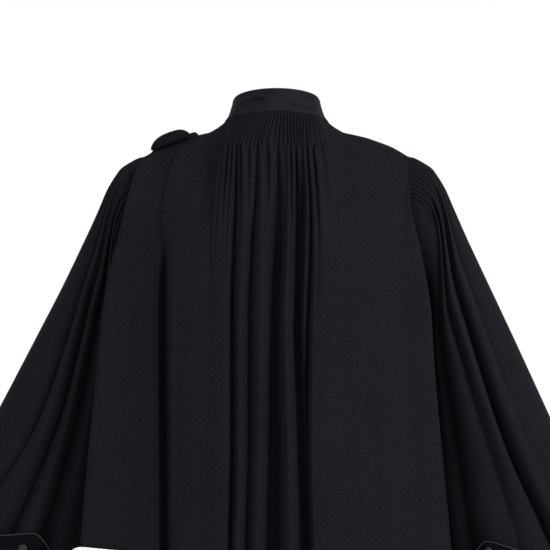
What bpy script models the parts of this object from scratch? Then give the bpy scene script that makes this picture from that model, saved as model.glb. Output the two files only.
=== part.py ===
# Judicial robe, worn shape with nobody in it: a wide black gown with a satin stand collar,
# a back that is cartridge pleated into the collar, full sleeves pleated into the armholes,
# turned-back satin cuffs, and a shoulder sash with fur ends on the wearer's left shoulder.
# The front faces -Y, the wearer's left is +X, and the origin is the middle of the neck opening.

import math

import bmesh
import bpy
import numpy as np
from mathutils import Vector

# Tables and sizes are in millimetres, and every point is scaled by this on its way into a mesh.
MM = 0.001

# Walls and seams
CLOTH_WALL = 1.5
COLLAR_WALL = 2.4
CUFF_WALL = 2.0
SASH_WALL = 2.2
SEAM_GAP = 0.3

# Neck and collar
COLLAR_SLOPE = 0.258
COLLAR_HEIGHT = 38.5
COLLAR_BACK = 72.0
COLLAR_FRONT = 68.0
COLLAR_COLUMNS = 36

# Pleats at the back of the neck
BACK_PLEATS = 28
BACK_PLEAT_RISE = 0.8
BACK_PLEAT_END = 0.15
PLEATED_LEFT = 68.0
PLEATED_RIGHT = -66.0

# Pleats in each sleeve head
SLEEVE_PLEATS = 24
SLEEVE_PLEAT_PITCH = 7.4
SLEEVE_PLEAT_RISE = 1.2
SLEEVE_PLEAT_END = 2.15
UNDERARM_LINES = 8

# Armhole, an upright oval in a plane that leans out a little downwards
ARMHOLE_TOP = -50.0
ARMHOLE_BOTTOM = -255.0
ARMHOLE_DEPTH = 52.0
ARMHOLE_X = 206.0
ARMHOLE_LEAN = 0.039

# Shoulder strips
YOKE_BACK = 22.0
YOKE_FRONT = -20.0

# Drop at which the shoulder shape has turned into the plain hanging tube
JOIN_DROP = 300.0

# How square the body's section is, from 0 for an ellipse
SQUARE = -0.05

# Body sections: drop below the origin, half width, depth to the back, depth to the front
BODY = (
    (-20, 196, 122, 108),
    (120, 209, 127, 120),
    (180, 217, 131, 126),
    (257, 231, 135, 132),
    (370, 238, 140, 138),
    (490, 247, 146, 144),
    (656, 261, 156, 154),
    (900, 285, 172, 168),
    (1290, 324, 196, 190),
)

# Drops at which the centre folds of the back are set out
FOLD_DROPS = (40, 121, 180, 319, 490, 656, 1290)

# Centre folds: line number, then x at each drop, then height off the plain section at each drop
CENTRE_FOLDS = (
    (0, (88, 97, 100, 104, 108, 112, 128), (0, 0, 0, 0, 0, 0, 0)),
    (6, (65, 70, 74, 77, 77, 80, 92), (1, 3, 4, 4, 4, 4, 7)),
    (7, (61, 63, 66, 70, 70, 73, 84), (-2, -9, -14, -22, -26, -28, -34)),
    (9, (52, 51, 52, 57, 57, 61, 68), (1, 4, 5, 5, 5, 5, 8)),
    (13, (29, 32, 38, 43, 43, 47, 50), (-2, -8, -13, -17, -18, -18, -24)),
    (15, (20, 21, 22, 24, 26, 30, 30), (1, 4, 5, 6, 6, 6, 10)),
    (17, (0, 0, 1, 6, 10, 14, 14), (-2, -16, -26, -36, -42, -46, -52)),
    (18, (-4, -7, -8, 0, 0, 0, -2), (-2, -16, -26, -35, -41, -45, -51)),
    (20, (-17, -18, -17, -14, -18, -21, -24), (1, 4, 6, 7, 7, 7, 10)),
    (23, (-30, -31, -31, -29, -36, -42, -44), (-2, -18, -26, -34, -38, -42, -48)),
    (25, (-38, -42, -40, -35, -41, -47, -50), (-2, -16, -24, -32, -37, -41, -47)),
    (26, (-42, -47, -46, -42, -45, -50, -54), (0, 1, 0, -6, -26, -36, -42)),
    (27, (-47, -52, -53, -50, -49, -53, -58), (-2, -9, -14, -20, -28, -36, -42)),
    (28, (-52, -58, -60, -56, -54, -57, -64), (1, 3, 4, 4, 4, 4, 7)),
    (32, (-82, -92, -96, -98, -100, -104, -120), (0, 0, 0, 0, 0, 0, 0)),
)

# Flutes that run out of the pleats: drop, rise
FLUTES = ((30, 0.8), (45, 2.6), (75, 3.2), (110, 2.2), (160, 1.0), (225, 0.0))

# Rows of the back: share of the way from the top edge to the join, then drops below the join
UPPER_ROWS = (0.0, 0.05, 0.10, 0.15, 0.20, 0.26, 0.33, 0.42, 0.52, 0.63, 0.75, 0.87, 1.0)
LOWER_ROWS = (370, 440, 520, 600, 680, 780, 890, 1010, 1150, 1290)

# Soft folds of the side panels: share of the way to the side seam where the line hangs, then its
# height at each drop. The back counts from the centre zone, a front from the centre front.
SIDE_DROPS = (200, 400, 656, 1290)
BACK_SIDE_FOLDS = (
    (0.08, 0, 0, -1, -6),
    (0.17, -1, -2, -3, -16),
    (0.26, 0, 1, 2, 8),
    (0.34, -1, -1, -2, -12),
    (0.42, 0, 1, 2, 8),
    (0.50, -1, -3, -5, -14),
    (0.58, 0, 1, 3, 8),
    (0.67, -1, -3, -6, -16),
    (0.82, 1, 8, 11, 12),
    (1.00, 0, -3, -4, 0),
)
FRONT_SIDE_FOLDS = (
    (0.00, 0, 0, 0, 0),
    (0.09, 0, 0, 0, 0),
    (0.17, -1, -4, -9, -20),
    (0.25, 0, 2, 4, 10),
    (0.33, -1, -3, -7, -18),
    (0.41, 0, 2, 4, 10),
    (0.48, -1, -3, -6, -16),
    (0.55, 0, 1, 3, 8),
    (0.61, -1, -3, -5, -14),
    (0.66, 0, 1, 2, 8),
    (0.71, -1, -2, -4, -12),
    (0.77, 0, 1, 2, 6),
    (0.87, -1, -2, -4, -12),
    (1.00, 0, -3, -4, 0),
)

# Shoulder strip ridge: distance from the centre, height
SHOULDER_RIDGE = ((83, 0), (101, -11), (120, -15.5), (139, -20), (157, -26), (180, -35), (206, -50))

# Places along the shoulder seam where the panels and the strip share a point
SHOULDER_PLACES = (104.0, 136.0, 170.0)

# Lines that start at the armhole below the corner: angle round it, share of the fold under the right arm
ARMHOLE_LINES = ((58, 0.4), (90, 0.8), (120, 1.0), (150, 0.2), (180, 0.0))

# Fold of the back that falls outwards over the right sleeve's lower seam: drop, reach
UNDERARM_FOLD = ((110, 0), (160, 7), (204, 14), (257, 28), (300, 18), (370, 8), (470, 3), (656, 0))

# Sleeve sections: outer x and z, inner x and z, half depth, middle y, extra reach of the left one
SLEEVE = (
    (206, -50, 214, -255, 52, 0, 0),
    (222, -57, 223, -264, 57, 0, 0),
    (241, -71, 231, -280, 61, -1, 0),
    (260, -98, 236, -304, 64, -3, 0),
    (278, -137, 239, -340, 67, -5, 0),
    (300, -186, 242, -390, 70, -8, 1),
    (330, -251, 246, -440, 73, -10, 2),
    (366, -329, 250, -492, 76, -12, 6),
    (408, -421, 254, -546, 80, -14, 12),
    (452, -517, 259, -600, 84, -16, 19),
    (497, -613, 266, -650, 88, -18, 25),
    (535, -697, 273, -697, 90, -19, 31),
    (560, -752, 281, -738, 90, -20, 35),
    (583, -803, 290, -775, 88, -20, 39),
)
SLEEVE_ROWS = (2.45, 2.9, 3.5, 4.2, 5.0, 6.0, 7.0, 8.0, 9.0, 10.0, 11.0, 12.0, 13.0)

# Sections at which the sleeve folds are set out
SLEEVE_FOLD_ROWS = (2.15, 5.0, 8.0, 10.0, 11.0, 13.0)

# Sleeve folds: line number, place at the last five of those sections (0 outer edge, 1 inner edge
# by way of the back, 2 outer edge again by way of the front), height at all six
RIGHT_SLEEVE_FOLDS = (
    (0, (0.02, 0.05, 0.06, 0.06, 0.05), (0, 2, 4, 4, 2, 0)),
    (3, (0.16, 0.22, 0.22, 0.22, 0.20), (-1, -9, -5, -2, -1, 0)),
    (4, (0.24, 0.29, 0.27, 0.27, 0.25), (1, 6, 4, 2, 1, 0)),
    (6, (0.35, 0.39, 0.34, 0.33, 0.32), (-1, -13, -22, -24, -16, -6)),
    (8, (0.45, 0.45, 0.45, 0.44, 0.42), (1, 9, 11, 8, 3, 0)),
    (11, (0.80, 0.85, 0.88, 0.86, 0.82), (-1, -9, -14, -14, -10, -5)),
    (13, (0.95, 0.97, 0.97, 0.96, 0.94), (0, 2, 2, 2, 1, 0)),
    (16, (1.08, 1.08, 1.08, 1.08, 1.06), (0, 0, 0, 0, 0, 0)),
    (19, (1.22, 1.24, 1.24, 1.24, 1.22), (0, -5, -10, -10, -8, -4)),
    (22, (1.42, 1.42, 1.42, 1.42, 1.40), (1, 6, 8, 6, 3, 0)),
    (24, (1.55, 1.54, 1.53, 1.53, 1.52), (-1, -12, -18, -18, -12, -5)),
    (26, (1.68, 1.66, 1.66, 1.66, 1.65), (1, 7, 8, 6, 3, 0)),
    (28, (1.80, 1.78, 1.78, 1.78, 1.78), (-1, -9, -8, -6, -3, -1)),
)
LEFT_SLEEVE_FOLDS = (
    (0, (0.04, 0.11, 0.12, 0.13, 0.14), (0, 2, 3, 3, 2, 0)),
    (3, (0.16, 0.29, 0.21, 0.21, 0.21), (-1, -9, -14, -10, -6, -2)),
    (4, (0.22, 0.37, 0.31, 0.30, 0.29), (1, 5, 7, 7, 3, 0)),
    (6, (0.30, 0.45, 0.44, 0.44, 0.44), (-1, -12, -20, -22, -15, -6)),
    (7, (0.37, 0.53, 0.54, 0.53, 0.52), (1, 5, 9, 8, 3, 0)),
    (9, (0.47, 0.61, 0.63, 0.62, 0.61), (-1, -12, -20, -22, -15, -6)),
    (11, (0.61, 0.72, 0.77, 0.75, 0.74), (0, 4, 6, 6, 3, 0)),
    (14, (0.90, 0.93, 0.93, 0.93, 0.91), (0, 0, -2, -4, -3, -1)),
    (17, (1.12, 1.11, 1.11, 1.11, 1.11), (0, 0, 0, 0, 0, 0)),
    (20, (1.29, 1.28, 1.27, 1.27, 1.26), (-1, -7, -12, -12, -8, -4)),
    (22, (1.41, 1.41, 1.40, 1.39, 1.37), (1, 5, 7, 6, 3, 0)),
    (25, (1.59, 1.56, 1.52, 1.52, 1.51), (-1, -11, -17, -17, -12, -5)),
    (27, (1.73, 1.67, 1.63, 1.63, 1.62), (1, 6, 7, 6, 3, 0)),
    (29, (1.83, 1.78, 1.74, 1.73, 1.72), (-1, -8, -8, -5, -3, -1)),
)

# Cuffs: first section, drop of the edge away from its peak, place of the peak, stand-off at the edge
CUFF_PEAK_ROW = 10.0
CUFF_EDGE_ROW = 10.55
CUFF_PEAK_WIDTH = 0.10
CUFF_PEAK_RIGHT = 0.74
CUFF_PEAK_LEFT = 0.54
CUFF_STAND_OFF = 13.0
CUFF_INNER_SHARE = 0.35
CUFF_CLEAR_LEFT = 2.65
CUFF_CLEAR_RIGHT = 1.65
CUFF_COLUMNS = 32

# Front closing
PLACKET_HALF = 17.0
PLACKET_STAND = 2.4
PLACKET_DROPS = (26, 50, 80, 115, 155, 200, 250, 300, 380, 470, 570, 680, 800, 940, 1110, 1288)
FRONT_BUTTONS = 9
FIRST_BUTTON_DROP = 65.0
BUTTON_SPACING = 92.5
BUTTON_RADIUS = 7.5
BUTTON_THICKNESS = 5.0

# Shoulder sash, back tail: drop of its middle, inner edge x, outer edge x, stand-off from the robe
# at the inner edge and at the outer edge
SASH_BACK = (
    (16, 150, 186, 2.9, 2.9),
    (22, 151, 190, 2.9, 3.2),
    (28, 151, 195, 2.9, 3.6),
    (34, 152, 200, 2.9, 4.2),
    (56, 164, 215, 3.2, 5.0),
    (84, 172, 224, 3.6, 6.0),
    (124, 180, 233, 4.0, 12.0),
    (180, 184, 245, 5.0, 16.0),
    (250, 185, 262, 8.0, 18.0),
    (350, 185, 273, 12.0, 24.0),
    (470, 185, 285, 16.0, 26.0),
    (560, 185, 293, 18.0, 27.0),
    (650, 185, 301, 20.0, 28.0),
)
# Front tail: the same columns
SASH_FRONT = (
    (16, 150, 186, 2.9, 2.9),
    (21, 149, 188, 2.9, 3.1),
    (25, 149, 190, 2.9, 3.4),
    (30, 148, 192, 2.9, 3.8),
    (34, 148, 194, 2.9, 4.2),
    (56, 146, 200, 3.2, 5.0),
    (90, 143, 204, 3.6, 6.0),
    (140, 140, 207, 4.0, 9.0),
    (210, 137, 210, 5.0, 12.0),
    (310, 134, 214, 10.0, 17.0),
    (420, 132, 218, 18.0, 24.0),
)
# Depths at which the two tails part under the pad and cross the shoulder seams
SASH_PARTING = 6.0
SASH_OVER_DROP = 34.0
# How far a row of the sash falls outwards: drop, fall for each millimetre
SASH_TILT = ((34, 0.42), (60, 0.42), (120, 0.2), (180, 0.0), (350, -0.02), (600, -0.10))
FUR_HEIGHT = 104.0
FUR_DEPTH = 15.0
# Share of the tail's width that the band passes on each side
FUR_OVERHANG = 0.09

# Gathered pad and tab on top of the shoulder: middle in x and y, half width, half depth, half height
PAD_MIDDLE = (164.0, 10.0)
PAD_RADII = (27.0, 19.0, 8.0)
PAD_LIFT = 4.9
PAD_GATHERS = 18
TAB_SIZE = (20.0, 9.0, 1.5)
TAB_CENTRE = (131.0, 8.0, -18.0)


def level(table, column, at):
    """Smooth curve through one column of a table, read at a value of its first column."""
    xs = np.array([row[0] for row in table], float)
    ys = np.array([row[column] for row in table], float)
    return smooth_curve(xs, ys, at)


def smooth_curve(xs, ys, at):
    """Cubic through the points that never swings past them."""
    xs = np.asarray(xs, float)
    ys = np.asarray(ys, float)
    steps = np.diff(xs)
    slopes = np.diff(ys) / steps
    tangents = np.zeros(len(xs))
    tangents[0] = slopes[0]
    tangents[-1] = slopes[-1]
    for i in range(1, len(xs) - 1):
        if slopes[i - 1] * slopes[i] > 0:
            tangents[i] = 2 * slopes[i - 1] * slopes[i] / (slopes[i - 1] + slopes[i])
    at = float(min(max(at, xs[0]), xs[-1]))
    i = int(min(np.searchsorted(xs, at, side="right") - 1, len(steps) - 1))
    t = (at - xs[i]) / steps[i]
    start = ys[i] * (1 + 2 * t) * (1 - t) ** 2 + tangents[i] * steps[i] * t * (1 - t) ** 2
    end = ys[i + 1] * t * t * (3 - 2 * t) - tangents[i + 1] * steps[i] * t * t * (1 - t)
    return float(start + end)


def ease(t):
    """0 to 1 with level ends."""
    t = min(max(t, 0.0), 1.0)
    return t * t * (3 - 2 * t)


def section_x(angle):
    return (math.sin(angle) - SQUARE * math.sin(3 * angle)) / (1 + SQUARE)


def section_y(angle):
    return (math.cos(angle) + SQUARE * math.cos(3 * angle)) / (1 + SQUARE)


ANGLE_STEPS = np.linspace(-math.pi / 2, math.pi / 2, 181)
SECTION_STEPS = np.array([section_x(a) for a in ANGLE_STEPS])


def angle_at(share):
    """Angle of the body's section where x is this share of the half width."""
    return float(np.interp(share, SECTION_STEPS, ANGLE_STEPS))


def body_point(angle, drop, height):
    """Point on the body's section, 0 at the centre back and 180 degrees at the centre front."""
    half = level(BODY, 1, drop)
    depth = level(BODY, 2 if math.cos(angle) >= 0 else 3, drop)
    step = 0.01
    x = half * section_x(angle)
    y = depth * section_y(angle)
    dx = half * (section_x(angle + step) - section_x(angle - step))
    dy = depth * (section_y(angle + step) - section_y(angle - step))
    length = math.hypot(dx, dy)
    return Vector((x - dy / length * height, y + dx / length * height, -drop))


def armhole_x(z):
    return ARMHOLE_X + (ARMHOLE_TOP - z) * ARMHOLE_LEAN


def armhole_point(degrees, side, front):
    """Point on the armhole seam, measured from its top."""
    angle = math.radians(degrees)
    z = (ARMHOLE_TOP + ARMHOLE_BOTTOM) / 2 + (ARMHOLE_TOP - ARMHOLE_BOTTOM) / 2 * math.cos(angle)
    y = ARMHOLE_DEPTH * math.sin(angle) * (-1 if front else 1)
    return Vector((side * (armhole_x(z) - SEAM_GAP / 2), y, z))


def armhole_outwards(point):
    """Direction away from the middle of the armhole, in its plane."""
    middle = (ARMHOLE_TOP + ARMHOLE_BOTTOM) / 2
    half = (ARMHOLE_TOP - ARMHOLE_BOTTOM) / 2
    return Vector((0, point.y / ARMHOLE_DEPTH**2, (point.z - middle) / half**2)).normalized()


def armhole_corner(y, side):
    """Point on the armhole seam at this depth, near its top."""
    angle = math.degrees(math.asin(min(abs(y) / ARMHOLE_DEPTH, 1.0)))
    return armhole_point(angle, side, y < 0)


def neck_point(x, front, drop_below):
    """Point under the collar seam, which lies in a plane that rises to the back."""
    depth = COLLAR_FRONT if front else COLLAR_BACK
    y = depth * math.sqrt(max(0.0, 1 - (x / 82.0) ** 2)) * (-1 if front else 1)
    return Vector((x, y, COLLAR_SLOPE * y - drop_below))


def ridge(x):
    """Height of the shoulder line."""
    return level(SHOULDER_RIDGE, 1, abs(x))


def seam_drop(y):
    """How far the shoulder strip falls from its ridge at this depth."""
    return 0.024 * y * y


def blend_down(top, angle, height, share):
    """Point between a top edge and the hanging tube, share of the way down to the join."""
    drop = -top.z + share * (JOIN_DROP + top.z)
    goal = body_point(angle, drop, height)
    out = 1 - (1 - share) ** 2.5
    late = 0.1 * ease((abs(top.x) - 150) / 56)
    slow = ease((share - late) / (1 - late)) ** 0.8
    quick = 1 - (1 - share) ** 1.5
    x = top.x + (goal.x - top.x) * (slow + 0.3 * (quick - slow) * ease((abs(top.x) - 195) / 10))
    y = top.y + (goal.y - top.y) * out
    return Vector((x, y, -drop))


def fold_line(number, drop):
    """x and height of one line of the centre folds at a drop."""
    for low, high in zip(CENTRE_FOLDS, CENTRE_FOLDS[1:]):
        if low[0] <= number <= high[0]:
            break
    share = (number - low[0]) / (high[0] - low[0])
    x_low = smooth_curve(FOLD_DROPS, low[1], drop)
    x_high = smooth_curve(FOLD_DROPS, high[1], drop)
    h_low = smooth_curve(FOLD_DROPS, low[2], drop)
    h_high = smooth_curve(FOLD_DROPS, high[2], drop)
    # A ridge stays round and a valley is sharp.
    bend = share**2 if h_low > h_high else 1 - (1 - share) ** 2
    x = x_low + (x_high - x_low) * share
    return x, h_low + (h_high - h_low) * bend


def flute_rise(number, drop):
    rise = level(FLUTES, 1, drop)
    return rise if number % 2 == 0 else -rise


def side_tops(side, front):
    """Top points of the lines outside the centre zone: collar end, shoulder seam, armhole."""
    y_seam = (YOKE_FRONT if front else YOKE_BACK) + (-1 if front else 1) * SEAM_GAP / 2
    points = []
    if front:
        for x in (52.0, 70.0):
            points.append(neck_point(side * x, True, SEAM_GAP / 2))
    corner_x = 82.0 * math.sqrt(1 - (y_seam / (COLLAR_FRONT if front else COLLAR_BACK)) ** 2)
    points.append(Vector((side * corner_x, y_seam, COLLAR_SLOPE * y_seam - SEAM_GAP / 2)))
    for x in SHOULDER_PLACES:
        points.append(Vector((side * x, y_seam, ridge(x) - seam_drop(y_seam))))
    points.append(armhole_corner(y_seam, side))
    for degrees, fold in ARMHOLE_LINES:
        point = armhole_point(degrees, side, front)
        if degrees == 180:
            point.y = (-1 if front else 1) * SEAM_GAP / 2
        points.append(point)
    return points


def seam_normal(point):
    """Direction of the wall at shoulder, side and front seams, so that both edges stay parallel."""
    side = 1.0 if point.x > 0 else -1.0
    if point.z < -250 and abs(point.y) < SEAM_GAP and abs(point.x) > 150:
        return Vector((side, 0, 0))
    if point.z < -15 and abs(point.x) < SEAM_GAP and point.y < 0:
        return Vector((0, -1, 0))
    if point.z > -70 and 75 < abs(point.x) < 215:
        if abs(point.y - YOKE_BACK) < SEAM_GAP:
            return Vector((0.2 * side, 0.55, 0.8)).normalized()
        if abs(point.y - YOKE_FRONT) < SEAM_GAP:
            return Vector((0.2 * side, -0.55, 0.8)).normalized()
    if abs(abs(point.x) - armhole_x(point.z) + SEAM_GAP / 2) < 0.02 and abs(point.y) < ARMHOLE_DEPTH + 1:
        return (armhole_outwards(point) + Vector((0.5 * side, 0, 0))).normalized()
    return None


def strip(mesh, upper, lower):
    """Faces between two rows, which may hold different numbers of points."""
    if len(upper) == len(lower):
        for i in range(len(upper) - 1):
            mesh.faces.new((upper[i], lower[i], lower[i + 1], upper[i + 1]))
        return
    m = len(upper) - 1
    n = len(lower) - 1
    i = 0
    j = 0
    while i < m or j < n:
        if i < m and (j == n or (i + 1) * n <= (j + 1) * m):
            mesh.faces.new((upper[i], lower[j], upper[i + 1]))
            i += 1
        else:
            mesh.faces.new((upper[i], lower[j], lower[j + 1]))
            j += 1


def material(name, colour, roughness, sheen):
    made = bpy.data.materials.new(name)
    made.use_nodes = True
    shader = made.node_tree.nodes["Principled BSDF"]
    shader.inputs["Base Color"].default_value = (*colour, 1)
    shader.inputs["Roughness"].default_value = roughness
    shader.inputs["Metallic"].default_value = 0.0
    shader.inputs["Sheen Weight"].default_value = sheen
    return made


def add_object(name, mesh, look, smooth=True):
    """Object from a finished bmesh in millimetres."""
    for vertex in mesh.verts:
        vertex.co *= MM
    data = bpy.data.meshes.new(name)
    mesh.to_mesh(data)
    mesh.free()
    if smooth:
        data.shade_smooth()
        data.set_sharp_from_angle(angle=math.radians(50))
    made = bpy.data.objects.new(name, data)
    made.data.materials.append(look)
    bpy.context.scene.collection.objects.link(made)
    return made


def wall(mesh, thickness, pinned=None):
    """Closes an open outer face into a wall of even thickness, with rims along its edges."""
    mesh.normal_update()
    outer = list(mesh.verts)
    faces = list(mesh.faces)
    rims = [edge for edge in mesh.edges if edge.is_boundary]
    inner = {}
    for vertex in outer:
        direction = (pinned or seam_normal)(vertex.co)
        reach = thickness
        if direction is None:
            direction = vertex.normal
            reach = thickness * min(vertex.calc_shell_factor(), 1.6)
        inner[vertex] = mesh.verts.new(vertex.co - direction * reach)
    for face in faces:
        mesh.faces.new([inner[v] for v in reversed(face.verts)])
    for edge in rims:
        loop = edge.link_loops[0]
        a = loop.vert
        b = loop.link_loop_next.vert
        mesh.faces.new((b, a, inner[a], inner[b]))
    mesh.normal_update()


def new_row(mesh, points):
    return [mesh.verts.new(point) for point in points]


# Collar
def collar():
    mesh = bmesh.new()
    shares = (0.0, 0.3, 0.65, 1.0)
    widths = (82.0, 75.0, 70.5, 67.0)
    rows = []
    for share, width in zip(shares, widths):
        points = []
        for i in range(COLLAR_COLUMNS + 1):
            angle = math.pi - 0.008 - (2 * math.pi - 0.016) * i / COLLAR_COLUMNS
            depth = COLLAR_BACK if math.cos(angle) > 0 else COLLAR_FRONT
            depth = depth - 5.0 * share
            x = width * math.sin(angle)
            y = depth * math.cos(angle)
            points.append((x, y, COLLAR_SLOPE * y + SEAM_GAP / 2 + COLLAR_HEIGHT * share))
        rows.append(new_row(mesh, points))
    for upper, lower in zip(rows[1:], rows):
        strip(mesh, upper, lower)

    def in_plane(point):
        if abs(point.z - COLLAR_SLOPE * point.y) < 1.0:
            flat = Vector((point.x, point.y, 0)).normalized()
            return Vector((flat.x, flat.y, COLLAR_SLOPE * flat.y)).normalized()
        return None

    wall(mesh, COLLAR_WALL, in_plane)
    return mesh


# Back, from the wearer's left side seam to the right one
def back():
    mesh = bmesh.new()
    left = side_tops(1, False)
    right = side_tops(-1, False)
    count = len(left)
    pleat_lines = 2 * BACK_PLEATS
    rows = []
    cuts = []
    levels = [(share, None) for share in UPPER_ROWS] + [(None, drop) for drop in LOWER_ROWS]
    for share, drop in levels:
        pleated = share is not None and share <= BACK_PLEAT_END
        steps = pleat_lines if pleated else 32
        centre = []
        for i in range(steps + 1):
            number = 32 * i / steps
            x_top = PLEATED_LEFT + (PLEATED_RIGHT - PLEATED_LEFT) * i / steps
            top = neck_point(x_top, False, SEAM_GAP / 2)
            at = drop if share is None else -top.z + share * (JOIN_DROP + top.z)
            x_fold, height = fold_line(number, max(at, FOLD_DROPS[0]))
            angle = angle_at(x_fold / level(BODY, 1, at))
            if share is None:
                point = body_point(angle, at, height)
            else:
                point = blend_down(top, angle, 0.0, share)
                fan = ease(min(share / 0.16, 1.0)) if share < 0.16 else 1.0
                point.x = x_top + (x_fold - x_top) * fan
                if pleated:
                    point.y += BACK_PLEAT_RISE * (1 if i % 2 == 0 else -1) * (0.6 if share == 0 else 1)
                else:
                    point.y += height + flute_rise(i, at)
            centre.append(point)
        sides = []
        for tops, side in ((left, 1), (right, -1)):
            points = []
            for j in range(count):
                at = drop if share is None else -tops[j].z + share * (JOIN_DROP + tops[j].z)
                edge = fold_line(0 if side == 1 else 32, max(at, 40.0))[0]
                first = angle_at(edge / level(BODY, 1, at))
                angle = first + (side * math.pi / 2 - first) * BACK_SIDE_FOLDS[j][0]
                height = smooth_curve(SIDE_DROPS, BACK_SIDE_FOLDS[j][1:], at)
                if share is None:
                    point = body_point(angle, at, height)
                else:
                    point = blend_down(tops[j], angle, height * ease(share), share)
                first_armhole = count - len(ARMHOLE_LINES)
                if side < 0 and j >= first_armhole:
                    free = 1.0 if share is None else ease(share)
                    point.x -= level(UNDERARM_FOLD, 1, at) * ARMHOLE_LINES[j - first_armhole][1] * free
                if j == count - 1:
                    point.y = SEAM_GAP / 2
                points.append(point)
            sides.append(points)
        points = list(reversed(sides[0])) + centre + sides[1]
        rows.append(new_row(mesh, points))
        cuts.append((count, count + len(centre) - 1))
    for i in range(len(rows) - 1):
        a0, a1 = cuts[i]
        b0, b1 = cuts[i + 1]
        strip(mesh, rows[i][: a0 + 1], rows[i + 1][: b0 + 1])
        strip(mesh, rows[i][a0 : a1 + 1], rows[i + 1][b0 : b1 + 1])
        strip(mesh, rows[i][a1:], rows[i + 1][b1:])
    wall(mesh, CLOTH_WALL)
    return mesh


# Fronts, from the centre front to the side seam
def front(side):
    mesh = bmesh.new()
    tops = [neck_point(side * (SEAM_GAP / 2), True, SEAM_GAP / 2)]
    tops.append(neck_point(side * 30.0, True, SEAM_GAP / 2))
    tops.extend(side_tops(side, True))
    count = len(tops) - 1
    upper = (0.0, 0.08, 0.18, 0.3, 0.45, 0.62, 0.8, 1.0)
    lower = (380, 470, 570, 680, 800, 940, 1110, 1290)
    rows = []
    for share, drop in [(s, None) for s in upper] + [(None, d) for d in lower]:
        points = []
        for j, top in enumerate(tops):
            at = drop if share is None else -top.z + share * (JOIN_DROP + top.z)
            angle = side * (math.pi - (math.pi / 2) * FRONT_SIDE_FOLDS[j][0])
            height = smooth_curve(SIDE_DROPS, FRONT_SIDE_FOLDS[j][1:], at)
            if share is None:
                point = body_point(angle, at, height)
            else:
                point = blend_down(top, angle, height * ease(share), share)
            if j == 0:
                point.x = side * SEAM_GAP / 2
            if j == count:
                point.y = -SEAM_GAP / 2
            points.append(point)
        rows.append(new_row(mesh, points if side < 0 else list(reversed(points))))
    for a, b in zip(rows, rows[1:]):
        strip(mesh, b, a)
    wall(mesh, CLOTH_WALL)
    return mesh


# Shoulder strips
def yoke(side):
    mesh = bmesh.new()
    rows = []
    for depth in (YOKE_BACK - SEAM_GAP / 2, 12.0, 0.0, -10.0, YOKE_FRONT + SEAM_GAP / 2):
        ring = COLLAR_BACK if depth > 0 else COLLAR_FRONT
        inner_x = 82.0 * math.sqrt(1 - (depth / ring) ** 2)
        points = [(side * inner_x, depth, COLLAR_SLOPE * depth - SEAM_GAP / 2)]
        for x in SHOULDER_PLACES:
            points.append((side * x, depth, ridge(x) - seam_drop(depth)))
        points.append(armhole_corner(depth, side))
        rows.append(new_row(mesh, points if side < 0 else list(reversed(points))))
    for upper, lower in zip(rows, rows[1:]):
        strip(mesh, lower, upper)
    wall(mesh, CLOTH_WALL)
    return mesh


# Sleeves
def sleeve_frame(row, side):
    """Middle, half chord and half depth of a sleeve section, with x counted outwards."""
    index = [(i, *values) for i, values in enumerate(SLEEVE)]
    ox = level(index, 1, row) + (level(index, 7, row) if side > 0 else 0.0)
    oz = level(index, 2, row)
    ix = level(index, 3, row)
    iz = level(index, 4, row)
    middle = Vector(((ox + ix) / 2, level(index, 6, row), (oz + iz) / 2))
    half = Vector(((ox - ix) / 2, 0, (oz - iz) / 2))
    return middle, half, level(index, 5, row)


def sleeve_point(row, angle, height, side):
    middle, half, depth = sleeve_frame(row, side)
    chord = half.length
    direction = half.normalized()
    normal = direction * (math.cos(angle) / chord) + Vector((0, math.sin(angle) / depth, 0))
    point = middle + half * math.cos(angle) + Vector((0, depth * math.sin(angle), 0))
    point = point + normal.normalized() * height
    return Vector((side * point.x, point.y, point.z))


def place_angle(place):
    """Angle round the sleeve from a place between 0 and 2."""
    if place <= 1:
        return math.acos(1 - 2 * place)
    return 2 * math.pi - math.acos(1 - 2 * (2 - place))


def head_angles():
    """Angles of the head pleats, even along the seam, and of the lines under the arm."""
    middle, half, depth = sleeve_frame(0.0, 1)
    angles = np.linspace(0, math.pi, 400)
    y = depth * np.sin(angles)
    z = half.length * np.cos(angles)
    lengths = np.concatenate([[0], np.cumsum(np.hypot(np.diff(y), np.diff(z)))])
    last = SLEEVE_PLEATS * SLEEVE_PLEAT_PITCH / 2
    pleated = []
    for k in range(-SLEEVE_PLEATS, SLEEVE_PLEATS + 1):
        arc = abs(k) * SLEEVE_PLEAT_PITCH / 2
        pleated.append(math.copysign(float(np.interp(arc, lengths, angles)), k))
    under = []
    for k in range(1, UNDERARM_LINES):
        arc = last + (2 * (lengths[-1] - last)) * k / UNDERARM_LINES
        if arc <= lengths[-1]:
            under.append(float(np.interp(arc, lengths, angles)))
        else:
            under.append(2 * math.pi - float(np.interp(2 * lengths[-1] - arc, lengths, angles)))
    return pleated, under


def sleeve_line(folds, number, row, head):
    """Angle and height of one of the 32 lines round the sleeve, number 0 at the outer edge."""
    table = list(folds)
    table.append((32, tuple(2 + p for p in folds[0][1]), folds[0][2]))
    for low, high in zip(table, table[1:]):
        if low[0] <= number <= high[0]:
            break
    share = (number - low[0]) / (high[0] - low[0])
    rows = SLEEVE_FOLD_ROWS
    at = max(row, rows[1])

    def angle_of(entry):
        turn = 2 * math.pi if entry[0] == 32 else 0.0
        places = [place_angle(p - (2 if entry[0] == 32 else 0)) + turn for p in entry[1]]
        return smooth_curve(rows[1:], places, at)

    a_low = angle_of(low)
    a_high = angle_of(high)
    h_low = smooth_curve(rows, low[2], row)
    h_high = smooth_curve(rows, high[2], row)
    bend = share**2 if h_low > h_high else 1 - (1 - share) ** 2
    goal = a_low + (a_high - a_low) * share
    mix = ease((row - rows[0]) / (rows[1] - rows[0]))
    return head + (goal - head) * mix, h_low + (h_high - h_low) * bend


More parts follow.
